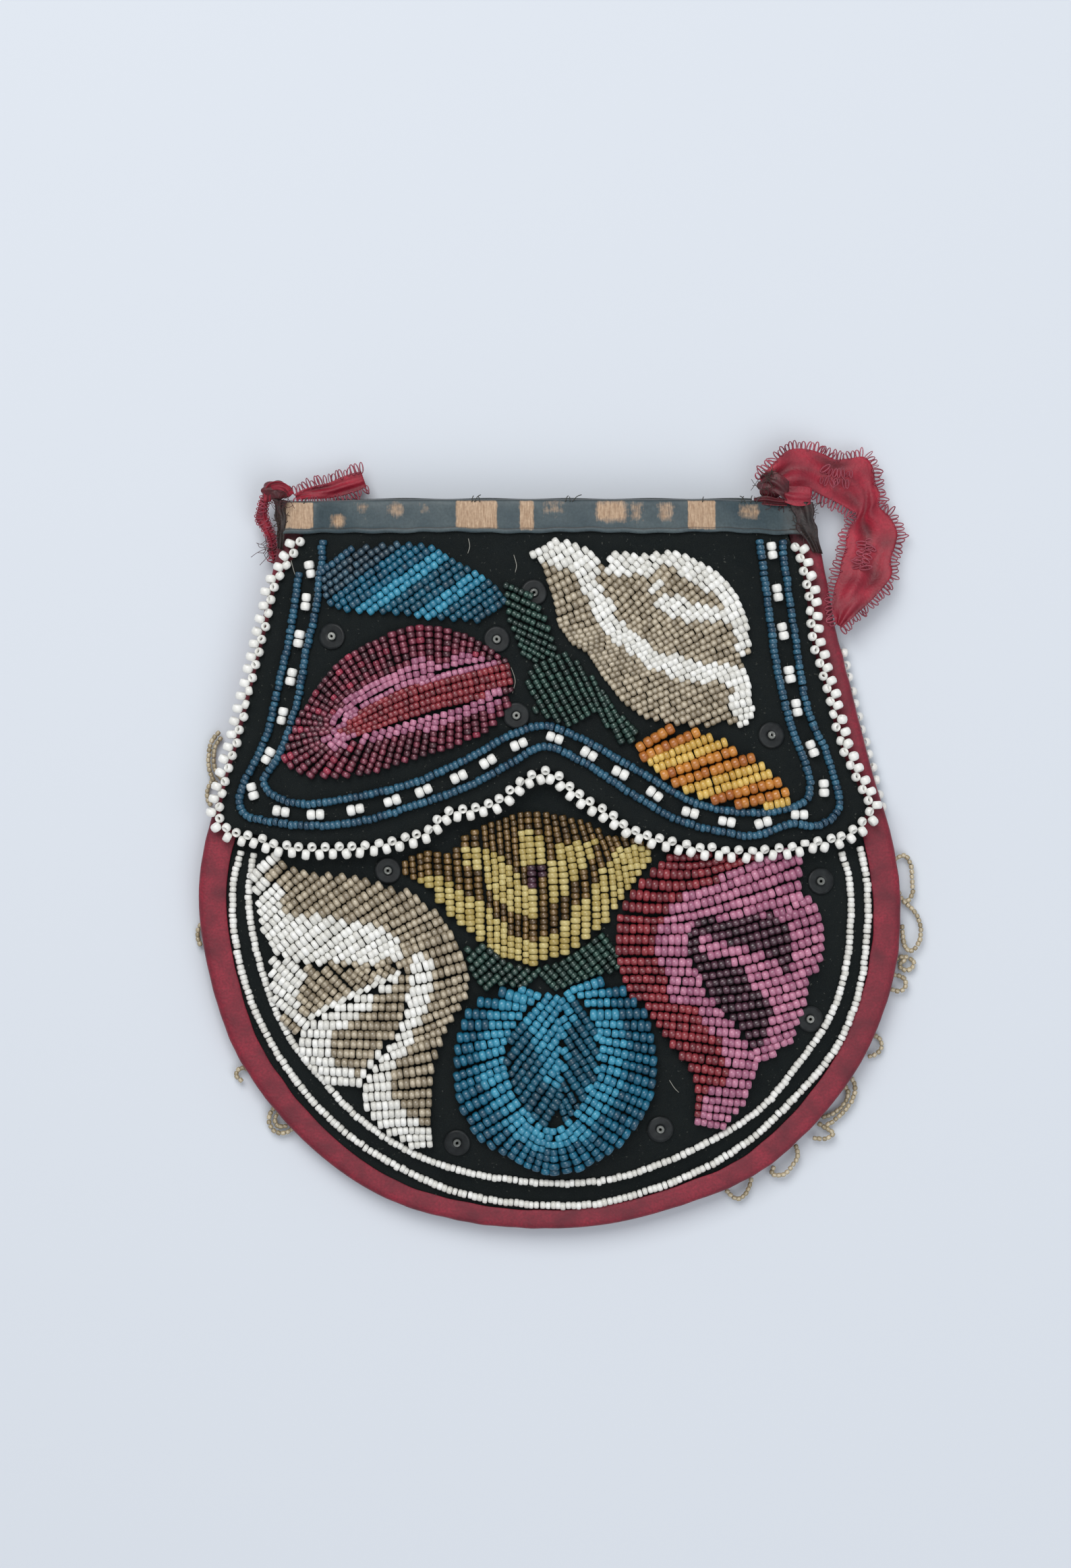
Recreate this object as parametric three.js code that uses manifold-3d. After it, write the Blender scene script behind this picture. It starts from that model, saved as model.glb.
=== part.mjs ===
// Beaded velvet medicine bag, lying face up. Millimetres, +Z up, +X to its right in the front view, +Y to its
// mouth.
//
// A front and a back panel of velvet are sewn together round the sides and the foot, inside a folded ribbon.
// The mouth is open. A flap of velvet is sewn into each mouth edge under a slate ribbon, one in front and one
// behind. The beadwork is sewn on the velvet as raised pads, one for each colour field.
import * as THREE from "three";
import { mergeVertices } from "three/addons/utils/BufferGeometryUtils.js";
import Module from "manifold-3d";

const wasm = await Module();
wasm.setup();

// Overall size of the bag without its ribbons. The outlines below were drawn on a bag of the drawn size.
const BAG_WIDTH = 145;
const BAG_HEIGHT = 150.5;
const DRAWN_WIDTH = 145;
const DRAWN_HEIGHT = 150.5;

// Cloth, from the back to the front
const CLEAR = 0.3; // between pieces that lie on each other
const VELVET = 0.7;
const LINING = 0.3;
const RIBBON = 0.5; // thickness of every binding
const POCKET_HEIGHT = 4.6; // clear height of the open mouth

// Widths along the edges
const SEAM_FLAT = 6.8; // level rim where the two panels are sewn together
const SEAM_RISE = 15; // width over which the front rises from the rim to its full height
const BINDING_SIDE = 5.9; // how far the red ribbon covers the front at the sides
const BINDING_FOOT = 3.7; // and at the foot
const MOUTH_BINDING = 6.8; // height of the slate ribbon
const MOUTH_STEP = 0.7; // how far the back's mouth stands above the front's
const MOUTH_Y = 74.7; // the front's mouth edge, as drawn
const MOUTH_LEFT = -54.6;
const MOUTH_RIGHT = 52.9;
const BACK_ASIDE = 1.2; // the back flap shows this far past the front's right edge

// Beads
const EDGE_BEADS = 2.8; // width of the two-row picot along a flap
const EDGE_SCALLOP = 0.25; // how far the picot's outline steps in and out
const LINE_BEAD = 1.2; // beads of the sewn lines
const PAIR_BEAD = 1.8; // across the band, between the blue lines
const PAIR_LENGTH = 3.0; // two beads along the band
const PAIR_THREAD = 0.4; // thread that runs from pair to pair
const PAD_HEIGHT = 1.2; // raised beadwork
const PAD_ROW = 1.4; // one row of beads in a field of another colour
const PAD_FLOOR = 0.4; // what is left of a pad under a field of another colour
const SEQUIN_RADIUS = 2.5;
const SEQUIN_THICKNESS = 0.3;
const SEQUIN_BEAD = 0.85; // radius of the bead that holds the sequin
const FRINGE_TAPE = 3.0;
const FRINGE_BEAD = 1.1;
const FRINGE_REACH = 1.6; // radius of a fringe loop
const FRINGE_SUNK = 0.1; // how much lower than the tape's faces its beads lie

// Where the front stands high enough over the back for the linings and for the mouth's inner lips
const LINING_INSET = SEAM_FLAT + SEAM_RISE * 0.3;
const CLOTH_INSET = EDGE_BEADS / 2 + CLEAR; // from the flap's edge line to its cloth

// Levels of the stack, each worked out from the one below it
const BACK_FLAP_TOP = VELVET;
const BACK_FLAP_LINING_TOP = BACK_FLAP_TOP + CLEAR + LINING;
const UNDER_BINDING = BACK_FLAP_LINING_TOP + CLEAR;
const BACK_PANEL = UNDER_BINDING + RIBBON + CLEAR;
const BACK_PANEL_TOP = BACK_PANEL + VELVET;
const INNER_LIP_TOP = BACK_PANEL_TOP + CLEAR + RIBBON;
// The front is measured from its velvet's underside: these are heights above the mound that it lies on.
const FRONT_BASE = BACK_PANEL_TOP + CLEAR;
const FULL_RISE = INNER_LIP_TOP + POCKET_HEIGHT + RIBBON + CLEAR - FRONT_BASE;
const FRONT_TOP = VELVET;
const OVER_BINDING = FRONT_TOP + CLEAR + RIBBON;
const FLAP_LINING = OVER_BINDING + CLEAR;
const FLAP_VELVET = FLAP_LINING + LINING + CLEAR;
const FLAP_TOP = FLAP_VELVET + VELVET;
const RIM_TOP = FRONT_BASE + OVER_BINDING; // of the red binding, all round
const DRAWN_RIM_TOP = 4.9; // the same, where the ribbons' heights were drawn
const FAR = 60; // higher and lower than anything here

const BLACK = 0x14191b;
const TAN = 0xa58a68;
const RED = 0xa02d3c;
const LOOP_RED = 0xc83246;
const KNOT_RED = 0x8e2434;
const SLATE = 0x4a5a60;
const DARK_SLATE = 0x2f3b3c;
const WHITE = 0xf2f2ee;
const LINE_BLUE = 0x1d4a66;
const MID_BLUE = 0x1f5f86;
const LIGHT_BLUE = 0x4aa3c8;
const MAROON = 0x5c1f2e;
const PINK = 0xc67a95;
const CLEAR_TAN = 0xa8977f;
const ORANGE = 0xc98a2b;
const YELLOW = 0xd8be50;
const GREEN = 0x1f3d33;
const BROWN_GOLD = 0x6b4a1e;
const RED_BROWN = 0x7c2a33;
const SMOKE = 0x3a4246;
const LOOP_TAN = 0x9a8a6a;

// Outlines, drawn as points on the real bag from the middle of its body. Curves run smoothly through them.
const SEAM_EDGE = [
  [-53.9, 79], [-56, 66], [-58.5, 54], [-61, 42], [-64, 30], [-67, 18.5], [-70.3, 7.6], [-72.2, -2],
  [-72.2, -12], [-69.4, -26.4], [-65.4, -37.8], [-58.5, -48.8], [-48.2, -59.7], [-36.7, -67.8],
  [-25.1, -72.4], [-8, -75.3], [11.7, -74.7], [31.4, -69.4], [42.9, -64.3], [53.9, -55.1], [63.1, -43.6],
  [67.6, -35], [71.1, -24.6], [72.6, -14.9], [72.4, -3.3], [70.5, 7], [67.5, 16.7], [64.5, 28], [61.5, 40],
  [59.4, 48], [57.5, 58], [55.8, 67], [52.9, 79],
];
const FLAP_EDGE = [
  [-51.5, 68], [-53.5, 63.5], [-57, 57.5], [-58.8, 50], [-61.9, 37.5], [-65, 25.1], [-67.8, 15.3],
  [-68.5, 9], [-66, 6.2], [-61, 5.2], [-55, 3.3], [-43.6, 2.9], [-33.2, 3.9], [-24.5, 6.5], [-21.2, 10],
  [-16, 10.8], [-9.4, 13], [-5.5, 16.6], [-0.4, 18.5], [5.7, 14], [11.4, 10.4], [17.1, 6.6], [25.6, 3.9],
  [35, 2.4], [44.6, 2.4], [54, 3.9], [60.4, 5.3], [64.6, 7.8], [66.8, 11.4], [64.6, 16.3], [61.1, 24],
  [58.2, 35], [55, 46.4], [53.9, 56], [52.6, 62], [50, 68],
];
const BLUE_OUTER = [
  [-51.5, 60], [-53.3, 47.5], [-56.5, 33.3], [-58.2, 26.3], [-61.1, 19.9], [-63.7, 14.6], [-63, 10.4],
  [-58.2, 8.8], [-45.6, 7.9], [-36, 9.4], [-26.5, 12.4], [-17.1, 15.7], [-7.6, 20.8], [-1, 24.1], [6.7, 21],
  [16.1, 15], [25.6, 9.4], [35, 6.7], [42.6, 5.9], [49.3, 8.2], [56, 8], [59.6, 11.4], [57.8, 20.8],
  [53.1, 32.1], [50.7, 46.3], [49.3, 55.7], [47.9, 66.6],
];
const BLUE_INNER = [
  [-46.4, 66.6], [-47.9, 52.8], [-50.1, 42.9], [-51.8, 33], [-55.7, 21.9], [-58.8, 17], [-57.4, 14.6],
  [-54, 13], [-49.3, 12.3], [-42.2, 13.3], [-35.1, 14.6], [-26.5, 17.1], [-17.1, 21.4], [-7.6, 26.5],
  [-1.5, 28.4], [4, 26.9], [11.4, 23.1], [20.8, 17.6], [30.3, 12.4], [39.9, 10.6], [49.3, 11.4],
  [53.3, 13.8], [53.2, 18.6], [49.7, 28.2], [46.9, 39.6], [44.6, 55.7], [43.2, 66.6],
];
const WHITE_OUTER = [
  [-63.6, 2.5], [-65.3, -5], [-65, -14], [-63.3, -23], [-59.7, -32.6], [-53.9, -42.5], [-44.7, -53.3],
  [-33.2, -61.5], [-19.3, -67.8], [-2.1, -70.6], [11.7, -70], [30.3, -63.8], [41.8, -56.8], [51.5, -47.6],
  [59, -38.6], [63.6, -28.1], [65.7, -14.9], [65.7, -3.3], [64.2, 3.5],
];
const WHITE_INNER = [
  [-60.8, 2.2], [-61.8, -5], [-61.3, -13], [-58.8, -23.5], [-53.9, -35], [-46.9, -44.2], [-39.2, -52.4],
  [-29.7, -58.8], [-19.3, -63], [-2.1, -65.8], [11.7, -65.3], [25.7, -60.8], [42.9, -51.1], [50.4, -42.5],
  [57.4, -32.6], [60.8, -23.5], [62.2, -11.9], [61.9, -3.3], [60.2, 2.5],
];
const PAIRS = [
  [-49.4, 61.4], [-50.3, 54], [-51.4, 46.3], [-53.1, 38.3], [-55.1, 30.6], [-57.6, 22.1], [-61.2, 13.8],
  [-55.3, 10.4], [-47.6, 10.1], [-39.6, 11], [-31.9, 12.2], [-25.3, 14.7], [-18.5, 17.8], [-12.4, 20.8],
  [-6.1, 24], [1, 25.6], [7.6, 21.7], [13.8, 17.1], [21.1, 13.3], [28.8, 10.4], [36.3, 8.8], [43.5, 8.3],
  [51.8, 10.2], [56.3, 15.1], [53.6, 23.2], [50.6, 32.1], [49.2, 38.9], [47.2, 47.6], [46.7, 55.6],
  [45.6, 64.3],
];

const MOTIFS = {
  flap_leaf_blue: {
    on: "flap",
    color: MID_BLUE,
    outline: [
      [-45.6, 60], [-43, 63.2], [-37, 64.6], [-30, 65.2], [-24, 64.6], [-19, 61.5], [-15, 58.5],
      [-11, 56.5], [-9.2, 54], [-10, 51], [-18, 50.4], [-26, 50.8], [-36, 52], [-42, 52.6], [-45.4, 54.4],
    ],
    fields: {
      light_left: { color: LIGHT_BLUE, rows: 2.3, paths: [[[-37.5, 53.3], [-31, 56.8], [-23, 62.8]]] },
      light_right: { color: LIGHT_BLUE, rows: 2.3, paths: [[[-26, 52.2], [-20.5, 55.6], [-15.8, 58.4]]] },
    },
  },
  flap_bud_maroon: {
    on: "flap",
    color: MAROON,
    outline: [
      [-53.3, 22], [-50.5, 30], [-47, 36], [-43, 41.5], [-37, 44.5], [-29, 48.2], [-23, 48.6], [-16, 46.2],
      [-10, 42], [-8, 38], [-9, 32], [-14, 26.8], [-24, 23], [-32, 20.5], [-42, 18.2], [-50, 18.4],
    ],
    fields: {
      ring: {
        color: PINK,
        rows: 2,
        paths: [[
          [-13.2, 41], [-19, 40.6], [-26, 39.3], [-33, 37.2], [-39.5, 33.6], [-43.4, 29.2], [-43.8, 25.6],
          [-38, 25.8], [-30, 27.6], [-22, 30], [-15.5, 32.4], [-10.8, 33.8],
        ]],
      },
    },
  },
  flap_flower: {
    on: "flap",
    color: CLEAR_TAN,
    outline: [
      [-4, 63.6], [-1, 65.6], [4, 65], [8.5, 62.8], [11.5, 60.6], [15, 62.6], [20, 62.4], [24.5, 63.2],
      [30, 61.3], [35, 58.2], [38.8, 54], [40.3, 49.5], [40.6, 44], [37.6, 41], [40.4, 38], [40.6, 33],
      [40.4, 29.6], [33, 29.2], [26, 28.6], [19, 30.2], [13.5, 35.2], [9, 42], [4, 46], [1.8, 52],
      [-0.2, 58],
    ],
    fields: {
      sash: {
        color: WHITE,
        rows: 3,
        paths: [[
          [-1, 63.6], [4.5, 62], [7.6, 57.5], [9, 53], [11.5, 48.5], [17, 45], [22, 42], [29, 40.2],
          [35.5, 38.4], [38.2, 34.5], [38.4, 31.5],
        ]],
      },
      rim: {
        color: WHITE,
        rows: 2,
        paths: [
          [[13, 61], [18, 60.6], [24, 61.4], [29, 59.4], [33.5, 56.4], [37, 53], [38.4, 49], [38.8, 45.5]],
          [[22.4, 54.6], [26.5, 52.4], [31, 51], [38.2, 50]],
        ],
      },
    },
  },
  flap_leaf_gold: {
    on: "flap",
    color: ORANGE,
    outline: [
      [17.8, 25], [20, 27.2], [25, 28], [31, 27], [36, 25], [41.5, 22], [45, 18.6], [48.2, 15.4],
      [48, 13.4], [42, 12.5], [35, 12.9], [28.5, 14.8], [22.5, 18.6],
    ],
    fields: {
      yellow_left: { color: YELLOW, rows: 2, paths: [[[22.5, 20.9], [28.5, 23.6], [34.5, 25]]] },
      yellow_right: { color: YELLOW, rows: 2, paths: [[[29.8, 15.4], [36, 17.6], [43.5, 19]]] },
    },
  },
  flap_stem_green: {
    on: "flap",
    color: GREEN,
    outline: [
      [-7.8, 52.4], [-4.6, 52.3], [-0.8, 50.4], [0.6, 46.6], [5.6, 42.4], [9.6, 36.4], [13.4, 31.6],
      [18, 28.2], [16.4, 25.6], [11, 27.6], [5, 28.6], [-1.6, 30.2], [-4, 36], [-4.4, 42], [-7, 47.6],
    ],
    fields: {},
  },
  panel_flower: {
    on: "panel",
    color: CLEAR_TAN,
    outline: [
      [-57, 1], [-59.4, -2], [-59.6, -8], [-58.4, -14], [-56.2, -19], [-56.2, -25], [-54.6, -30],
      [-50.8, -34], [-50.4, -38.5], [-46, -43.2], [-40, -45.4], [-37.7, -48.4], [-34.8, -52.4],
      [-27.6, -57.4], [-24.8, -56], [-24.2, -47], [-22.8, -37], [-19.6, -31.5], [-16.4, -27], [-17.4, -20],
      [-20.5, -13.5], [-25, -8.4], [-32, -5.4], [-40, -3], [-48, -2.2], [-54, -0.6],
    ],
    fields: {
      sash: {
        color: WHITE,
        rows: 3.4,
        paths: [
          [[-57, -4], [-56.4, -10], [-54.2, -16], [-53.8, -23], [-52.8, -30]],
          [[-56, -11.4], [-49, -13.6], [-41, -14.6], [-33, -16.2]],
        ],
      },
      low_edge: {
        color: WHITE,
        rows: 2.1,
        paths: [[[-31.5, -23.4], [-36.5, -26.6], [-42.5, -30.4], [-47, -34], [-47.4, -38.4], [-42.4, -42.6]]],
      },
      right_band: {
        color: WHITE,
        rows: 2.7,
        paths: [[
          [-26.2, -20.4], [-26.6, -27], [-29.6, -34], [-34, -41], [-35.8, -47.4], [-32.4, -52],
          [-27.4, -55.6],
        ]],
      },
    },
  },
  panel_bud_gold: {
    on: "panel",
    color: BROWN_GOLD,
    outline: [
      [-29.6, -0.4], [-25, 1.8], [-20, 1.6], [-16.8, 5.4], [-10, 8.6], [-3, 10.2], [4, 9.2], [10, 6.4],
      [15, 5.4], [20.4, 4], [19.6, 0], [14.4, -7.6], [8, -14.4], [1, -18.8], [-3, -20.2], [-10, -17.6],
      [-17, -13], [-22, -5.6], [-27, -3.2],
    ],
    fields: {
      outer_band: {
        color: YELLOW,
        rows: 3,
        paths: [[
          [-20.6, -5.6], [-17, -9.6], [-12, -13.4], [-7, -16.2], [-2.4, -17.4], [3, -15], [8, -10.6],
          [12.4, -5.4], [16.4, -0.6],
        ]],
      },
      inner_band: {
        color: YELLOW,
        rows: 3.3,
        paths: [[[-15.4, 1.2], [-11.6, -2.4], [-7.4, -6], [-2.8, -8], [1.6, -4.6], [4.2, 0], [7.4, 3]]],
      },
    },
  },
  panel_heart_blue: {
    on: "panel",
    color: MID_BLUE,
    outline: [
      [-2.5, -27.8], [-8, -26], [-13, -27.2], [-17.4, -32], [-19.2, -40], [-19.2, -48], [-16, -54.6],
      [-10, -60], [-4, -63], [3, -63.2], [10, -60.4], [17, -55.6], [20, -48.4], [21.4, -41], [20, -32],
      [16.4, -26.2], [10, -24], [4, -25.8],
    ],
    fields: {
      ring: {
        color: LIGHT_BLUE,
        rows: 2.6,
        paths: [[
          [-8, -29], [-11, -34], [-11.4, -41], [-9.8, -48], [-6, -53], [0.4, -55.2], [7, -52.2],
          [12.2, -47], [13, -40], [11.8, -33], [8.4, -27.4],
        ]],
      },
      middle: { color: LIGHT_BLUE, rows: 3.9, paths: [[[0.2, -30.6], [0.6, -37], [1.2, -44.4]]] },
    },
  },
  panel_flower_red: {
    on: "panel",
    color: RED_BROWN,
    outline: [
      [30, 0.4], [50.2, 0.2], [50.6, -5.4], [54.4, -8.4], [55.4, -15], [54.6, -20.6], [52.2, -23.4],
      [51, -29.4], [48.6, -36.6], [42.6, -39.8], [41, -45], [38.6, -50], [34.6, -53.8], [31, -52.4],
      [30, -43], [25, -36.6], [20.6, -29.4], [16.6, -25.6], [14.4, -18.6], [15.8, -9], [21, -2.8],
    ],
    fields: {
      pink_left: {
        color: PINK,
        rows: 2.8,
        paths: [[
          [48, -1.6], [40, -4.6], [32, -7.4], [26.6, -10.6], [24.8, -16], [26.4, -23], [30.6, -29.6],
          [35.4, -35], [38.6, -40.4], [38, -45.4], [35, -50.4],
        ]],
      },
      pink_right: {
        color: PINK,
        rows: 2.4,
        paths: [
          [
            [43.6, -8.8], [48.8, -9.4], [52.8, -12.8], [52.4, -18.4], [50.4, -23.4], [49.4, -29.4],
            [46.8, -35.2],
          ],
          [[31.6, -16.6], [37, -18.2], [42, -20.8], [49.8, -25.4]],
        ],
      },
    },
  },
  panel_leaves_green: {
    on: "panel",
    color: GREEN,
    outline: [
      [-16.4, -18.4], [-12.4, -17.6], [-8.4, -19.8], [-3, -21.8], [2.6, -20.4], [7, -17.4], [10.6, -14.8],
      [13.4, -16.6], [13.4, -21.6], [9.6, -22.8], [4, -24.4], [-1.8, -26.4], [-7.4, -24.6], [-13, -24.8],
    ],
    fields: {},
  },
};

const SEQUINS = {
  flap: [[-44.6, 46.7], [-10.7, 46], [-3.1, 55.6], [-6.7, 30.4], [45.6, 26.4]],
  panel: [[-33.1, -1.4], [-18.9, -57.4], [55.9, -3.6], [53.8, -32], [22.9, -54.6]],
};

// Knots at the mouth's corners: how far along the mouth, and the half sizes
const KNOTS = {
  right: { x: 45, size: [3.6, 2.6, 2.3] },
  left: { x: -55.4, size: [3.6, 2.6, 2.3] },
};
const KNOT_HEIGHT = 7.2; // of their middles, as drawn

// Ribbons: where each starts from the middle of its knot, then its middle line with heights above the table
const RIBBONS = {
  ribbon_loop: {
    knot: "right",
    start: [4, 1.8, 7.2],
    width: 9.6,
    steps: 16,
    path: [
      [51.8, 80.6, 6.2], [56, 80.4, 4.4], [61.5, 79.2, 2.4], [66, 74.6, 1.2], [66.9, 67.6, 1],
      [65.9, 62, 2], [64.7, 57.6, 4], [63.3, 53.6, 5.4], [62, 50, 5.5],
    ],
  },
  ribbon_tail: {
    knot: "left",
    start: [4, 0, 6.8],
    width: 3.6,
    steps: 6,
    path: [[-47, 77.8, 4.8], [-41.5, 79, 2.8], [-35.8, 81, 1.6]],
  },
  ribbon_strand: {
    knot: "left",
    start: [-5.2, 0, 6.6],
    width: 2.6,
    steps: 6,
    path: [[-59.8, 73.6, 4.6], [-59.3, 68, 2.2], [-59.6, 62.4, 1]],
  },
};

// The middles of the fringe's loops
const FRINGE_LOOPS = [
  [-73.4, -11], [-58.6, -54], [-41, -68.4], [38.8, -69], [48.6, -62.6], [56.6, -56], [62.6, -47.6],
  [68.6, -36.4], [73.6, -20.4], [74.6, -12], [74.2, -3],
];

// A drawn point at the bag's real size
function at([x, y]) {
  return [(x * BAG_WIDTH) / DRAWN_WIDTH, (y * BAG_HEIGHT) / DRAWN_HEIGHT];
}

// Evenly spaced points on a smooth curve through drawn points
function smooth(points, steps, closed = false) {
  const places = points.map((point) => new THREE.Vector3(...at(point), 0));
  const spaced = new THREE.CatmullRomCurve3(places, closed, "centripetal").getSpacedPoints(steps);
  return (closed ? spaced.slice(0, -1) : spaced).map((p) => [p.x, p.y]);
}

// A line moved sideways, to the left of its direction. The distance may be a function of the point's number.
function beside(line, distance, closed = false) {
  const last = line.length - 1;
  return line.map(([x, y], i) => {
    const before = line[i > 0 ? i - 1 : closed ? last : 0];
    const after = line[i < last ? i + 1 : closed ? 0 : last];
    const [dx, dy] = [after[0] - before[0], after[1] - before[1]];
    const length = Math.hypot(dx, dy);
    const away = typeof distance === "function" ? distance(i) : distance;
    return [x - (dy / length) * away, y + (dx / length) * away];
  });
}

// A closed outline made larger or smaller all round
function grown(outline, distance) {
  const turns = THREE.ShapeUtils.area(outline.map(([x, y]) => new THREE.Vector2(x, y)));
  return beside(outline, turns > 0 ? -distance : distance, true);
}

function strip(line, width) {
  return [...beside(line, width / 2), ...beside(line, -width / 2).reverse()];
}

// The place on a line that is nearest to a point, how far away it is, and its number along the line
function nearestOn(line, [x, y]) {
  let best = { away: Infinity };
  for (let i = 0; i < line.length - 1; i += 1) {
    const [[x0, y0], [x1, y1]] = [line[i], line[i + 1]];
    const [dx, dy] = [x1 - x0, y1 - y0];
    const share = THREE.MathUtils.clamp(((x - x0) * dx + (y - y0) * dy) / (dx * dx + dy * dy), 0, 1);
    const place = [x0 + share * dx, y0 + share * dy];
    const away = Math.hypot(x - place[0], y - place[1]);
    if (away < best.away) best = { place, away, number: i + share };
  }
  return best;
}

// three.js geometry to a solid and back
function solid(geometry) {
  const bare = new THREE.BufferGeometry().setAttribute("position", geometry.getAttribute("position"));
  if (geometry.index) bare.setIndex(geometry.index);
  const merged = mergeVertices(bare, 1e-4);
  const mesh = new wasm.Mesh({
    numProp: 3,
    vertProperties: merged.attributes.position.array,
    triVerts: new Uint32Array(merged.index.array),
  });
  return new wasm.Manifold(mesh);
}

function geometryOf(made) {
  const { numProp, vertProperties, triVerts } = made.getMesh();
  const positions = new Float32Array((vertProperties.length / numProp) * 3);
  for (let i = 0; i * 3 < positions.length; i += 1) {
    positions.set(vertProperties.subarray(i * numProp, i * numProp + 3), i * 3);
  }
  return new THREE.BufferGeometry()
    .setAttribute("position", new THREE.BufferAttribute(positions, 3))
    .setIndex(new THREE.BufferAttribute(triVerts, 1));
}

function prism(outline, low, high) {
  const shape = new THREE.Shape(outline.map(([x, y]) => new THREE.Vector2(x, y)));
  const geometry = new THREE.ExtrudeGeometry(shape, { depth: high - low, bevelEnabled: false });
  return solid(geometry.translate(0, 0, low));
}

// The mound that the front lies on, from far below up to its surface: level at the seam, full in the middle.
// Its contours run down the left side, round the foot and up the right side, and on past the open mouth.
const MOUND_STEPS = 20;
const MOUND_PROFILE = [
  [-20, 0], [SEAM_FLAT, 0], [SEAM_FLAT + SEAM_RISE * 0.3, 0.42], [SEAM_FLAT + SEAM_RISE * 0.65, 0.84],
  [SEAM_FLAT + SEAM_RISE, 1],
];
const PAST_MOUTH = 40;

function moundContour(distance) {
  const inside = beside(smooth(SEAM_EDGE, MOUND_STEPS - 3), distance);
  const first = inside[0];
  const last = inside[inside.length - 1];
  return [[first[0], first[1] + PAST_MOUTH], ...inside, [last[0], last[1] + PAST_MOUTH]];
}

const moundContours = MOUND_PROFILE.map(([distance]) => moundContour(distance));

function mound(level) {
  const columns = moundContours[0].length;
  const rows = moundContours.length;
  const positions = [];
  for (const top of [true, false]) {
    moundContours.forEach((contour, row) => {
      const z = top ? FRONT_BASE + level + MOUND_PROFILE[row][1] * FULL_RISE : -FAR;
      contour.forEach(([x, y]) => positions.push(x, y, z));
    });
  }
  const layer = rows * columns;
  const faces = [];
  const quad = (a, b, c, d) => faces.push(a, b, c, a, c, d);
  const both = (a, b, c, d) => {
    quad(a, b, c, d);
    quad(layer + d, layer + c, layer + b, layer + a);
  };
  for (let row = 0; row < rows - 1; row += 1) {
    for (let i = 0; i < columns - 1; i += 1) {
      const here = row * columns + i;
      both(here, here + 1, here + columns + 1, here + columns);
    }
  }
  const inner = (rows - 1) * columns;
  for (let i = 0; i < columns / 2 - 1; i += 1) {
    const other = columns - 1 - i;
    both(inner + i, inner + i + 1, inner + other - 1, inner + other);
  }
  const rim = [];
  for (let i = 0; i < columns; i += 1) rim.push(i);
  for (let row = 1; row < rows; row += 1) rim.push(row * columns + columns - 1);
  for (let row = rows - 1; row > 0; row -= 1) rim.push(row * columns);
  rim.forEach((a, i) => {
    const b = rim[(i + 1) % rim.length];
    quad(a, layer + a, layer + b, b);
  });
  const geometry = new THREE.BufferGeometry()
    .setAttribute("position", new THREE.BufferAttribute(new Float32Array(positions), 3))
    .setIndex(faces);
  return solid(geometry);
}

// What lies inside an outline between two heights over the mound
function onFront(outline, low, high) {
  return prism(outline, -FAR / 2, FAR).intersect(mound(high)).subtract(mound(low));
}

// Everything on the mouth's side of a height
function aboveY(y) {
  const [aside, up] = [2 * BAG_WIDTH, 2 * BAG_HEIGHT];
  return prism([[-aside, y], [aside, y], [aside, up], [-aside, up]], -FAR, FAR);
}

// The outlines that the pieces share, each in even steps of a few millimetres
const seam = smooth(SEAM_EDGE, 38);
const flapEdge = smooth(FLAP_EDGE, 72);

// The part of a line that runs down, round the foot and up again which lies below a height
function below(line, height) {
  const crossing = ([x0, y0], [x1, y1]) => [x0 + ((height - y0) * (x1 - x0)) / (y1 - y0), height];
  const first = line.findIndex(([, y]) => y < height - 0.5);
  const last = line.findLastIndex(([, y]) => y < height - 0.5);
  const kept = line.slice(first, last + 1);
  const start = crossing(line[first], line[first > 0 ? first - 1 : 1]);
  const end = crossing(line[last], line[last < line.length - 1 ? last + 1 : last - 1]);
  return [start, ...kept, end];
}

function panelOutline(inset, mouthInset) {
  return below(beside(seam, inset), at([0, MOUTH_Y])[1] - mouthInset);
}

function flapOutline(inset, mouthInset) {
  const mouth = at([0, MOUTH_Y])[1] - mouthInset;
  const sides = beside(flapEdge, inset);
  return [[sides[0][0], mouth], ...sides, [sides[sides.length - 1][0], mouth]];
}

function mirrored(outline, aside) {
  return outline.map(([x, y]) => [aside - x, y]).reverse();
}

const bag = new THREE.Group();
const placed = new THREE.Group();
bag.add(placed);

function add(name, made, color, roughness = 0.85, metalness = 0) {
  const mesh = new THREE.Mesh(
    geometryOf(made),
    new THREE.MeshStandardMaterial({ color, roughness, metalness }),
  );
  mesh.name = name;
  placed.add(mesh);
}

// Back: flap, its lining and beads, panel and lining
function addBack() {
  const flap = mirrored(flapOutline(CLOTH_INSET, 0), BACK_ASIDE);
  add("back_flap_velvet", prism(flap, 0, BACK_FLAP_TOP), BLACK, 0.95);
  add("back_flap_lining", prism(flap, BACK_FLAP_TOP + CLEAR, BACK_FLAP_LINING_TOP), TAN, 0.9);
  const beads = mirrored(picot(flapEdge), BACK_ASIDE);
  add("back_flap_edge_beads", prism(beads, 0, BACK_FLAP_LINING_TOP), WHITE, 0.35);
  const panel = panelOutline(RIBBON + CLEAR, RIBBON + CLEAR - MOUTH_STEP);
  add("back_panel_velvet", prism(panel, BACK_PANEL, BACK_PANEL_TOP), BLACK, 0.95);
  const lining = panelOutline(LINING_INSET, MOUTH_BINDING + CLEAR - MOUTH_STEP);
  add("back_panel_lining", prism(lining, BACK_PANEL_TOP + CLEAR, BACK_PANEL_TOP + CLEAR + LINING), TAN, 0.9);
}

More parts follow.
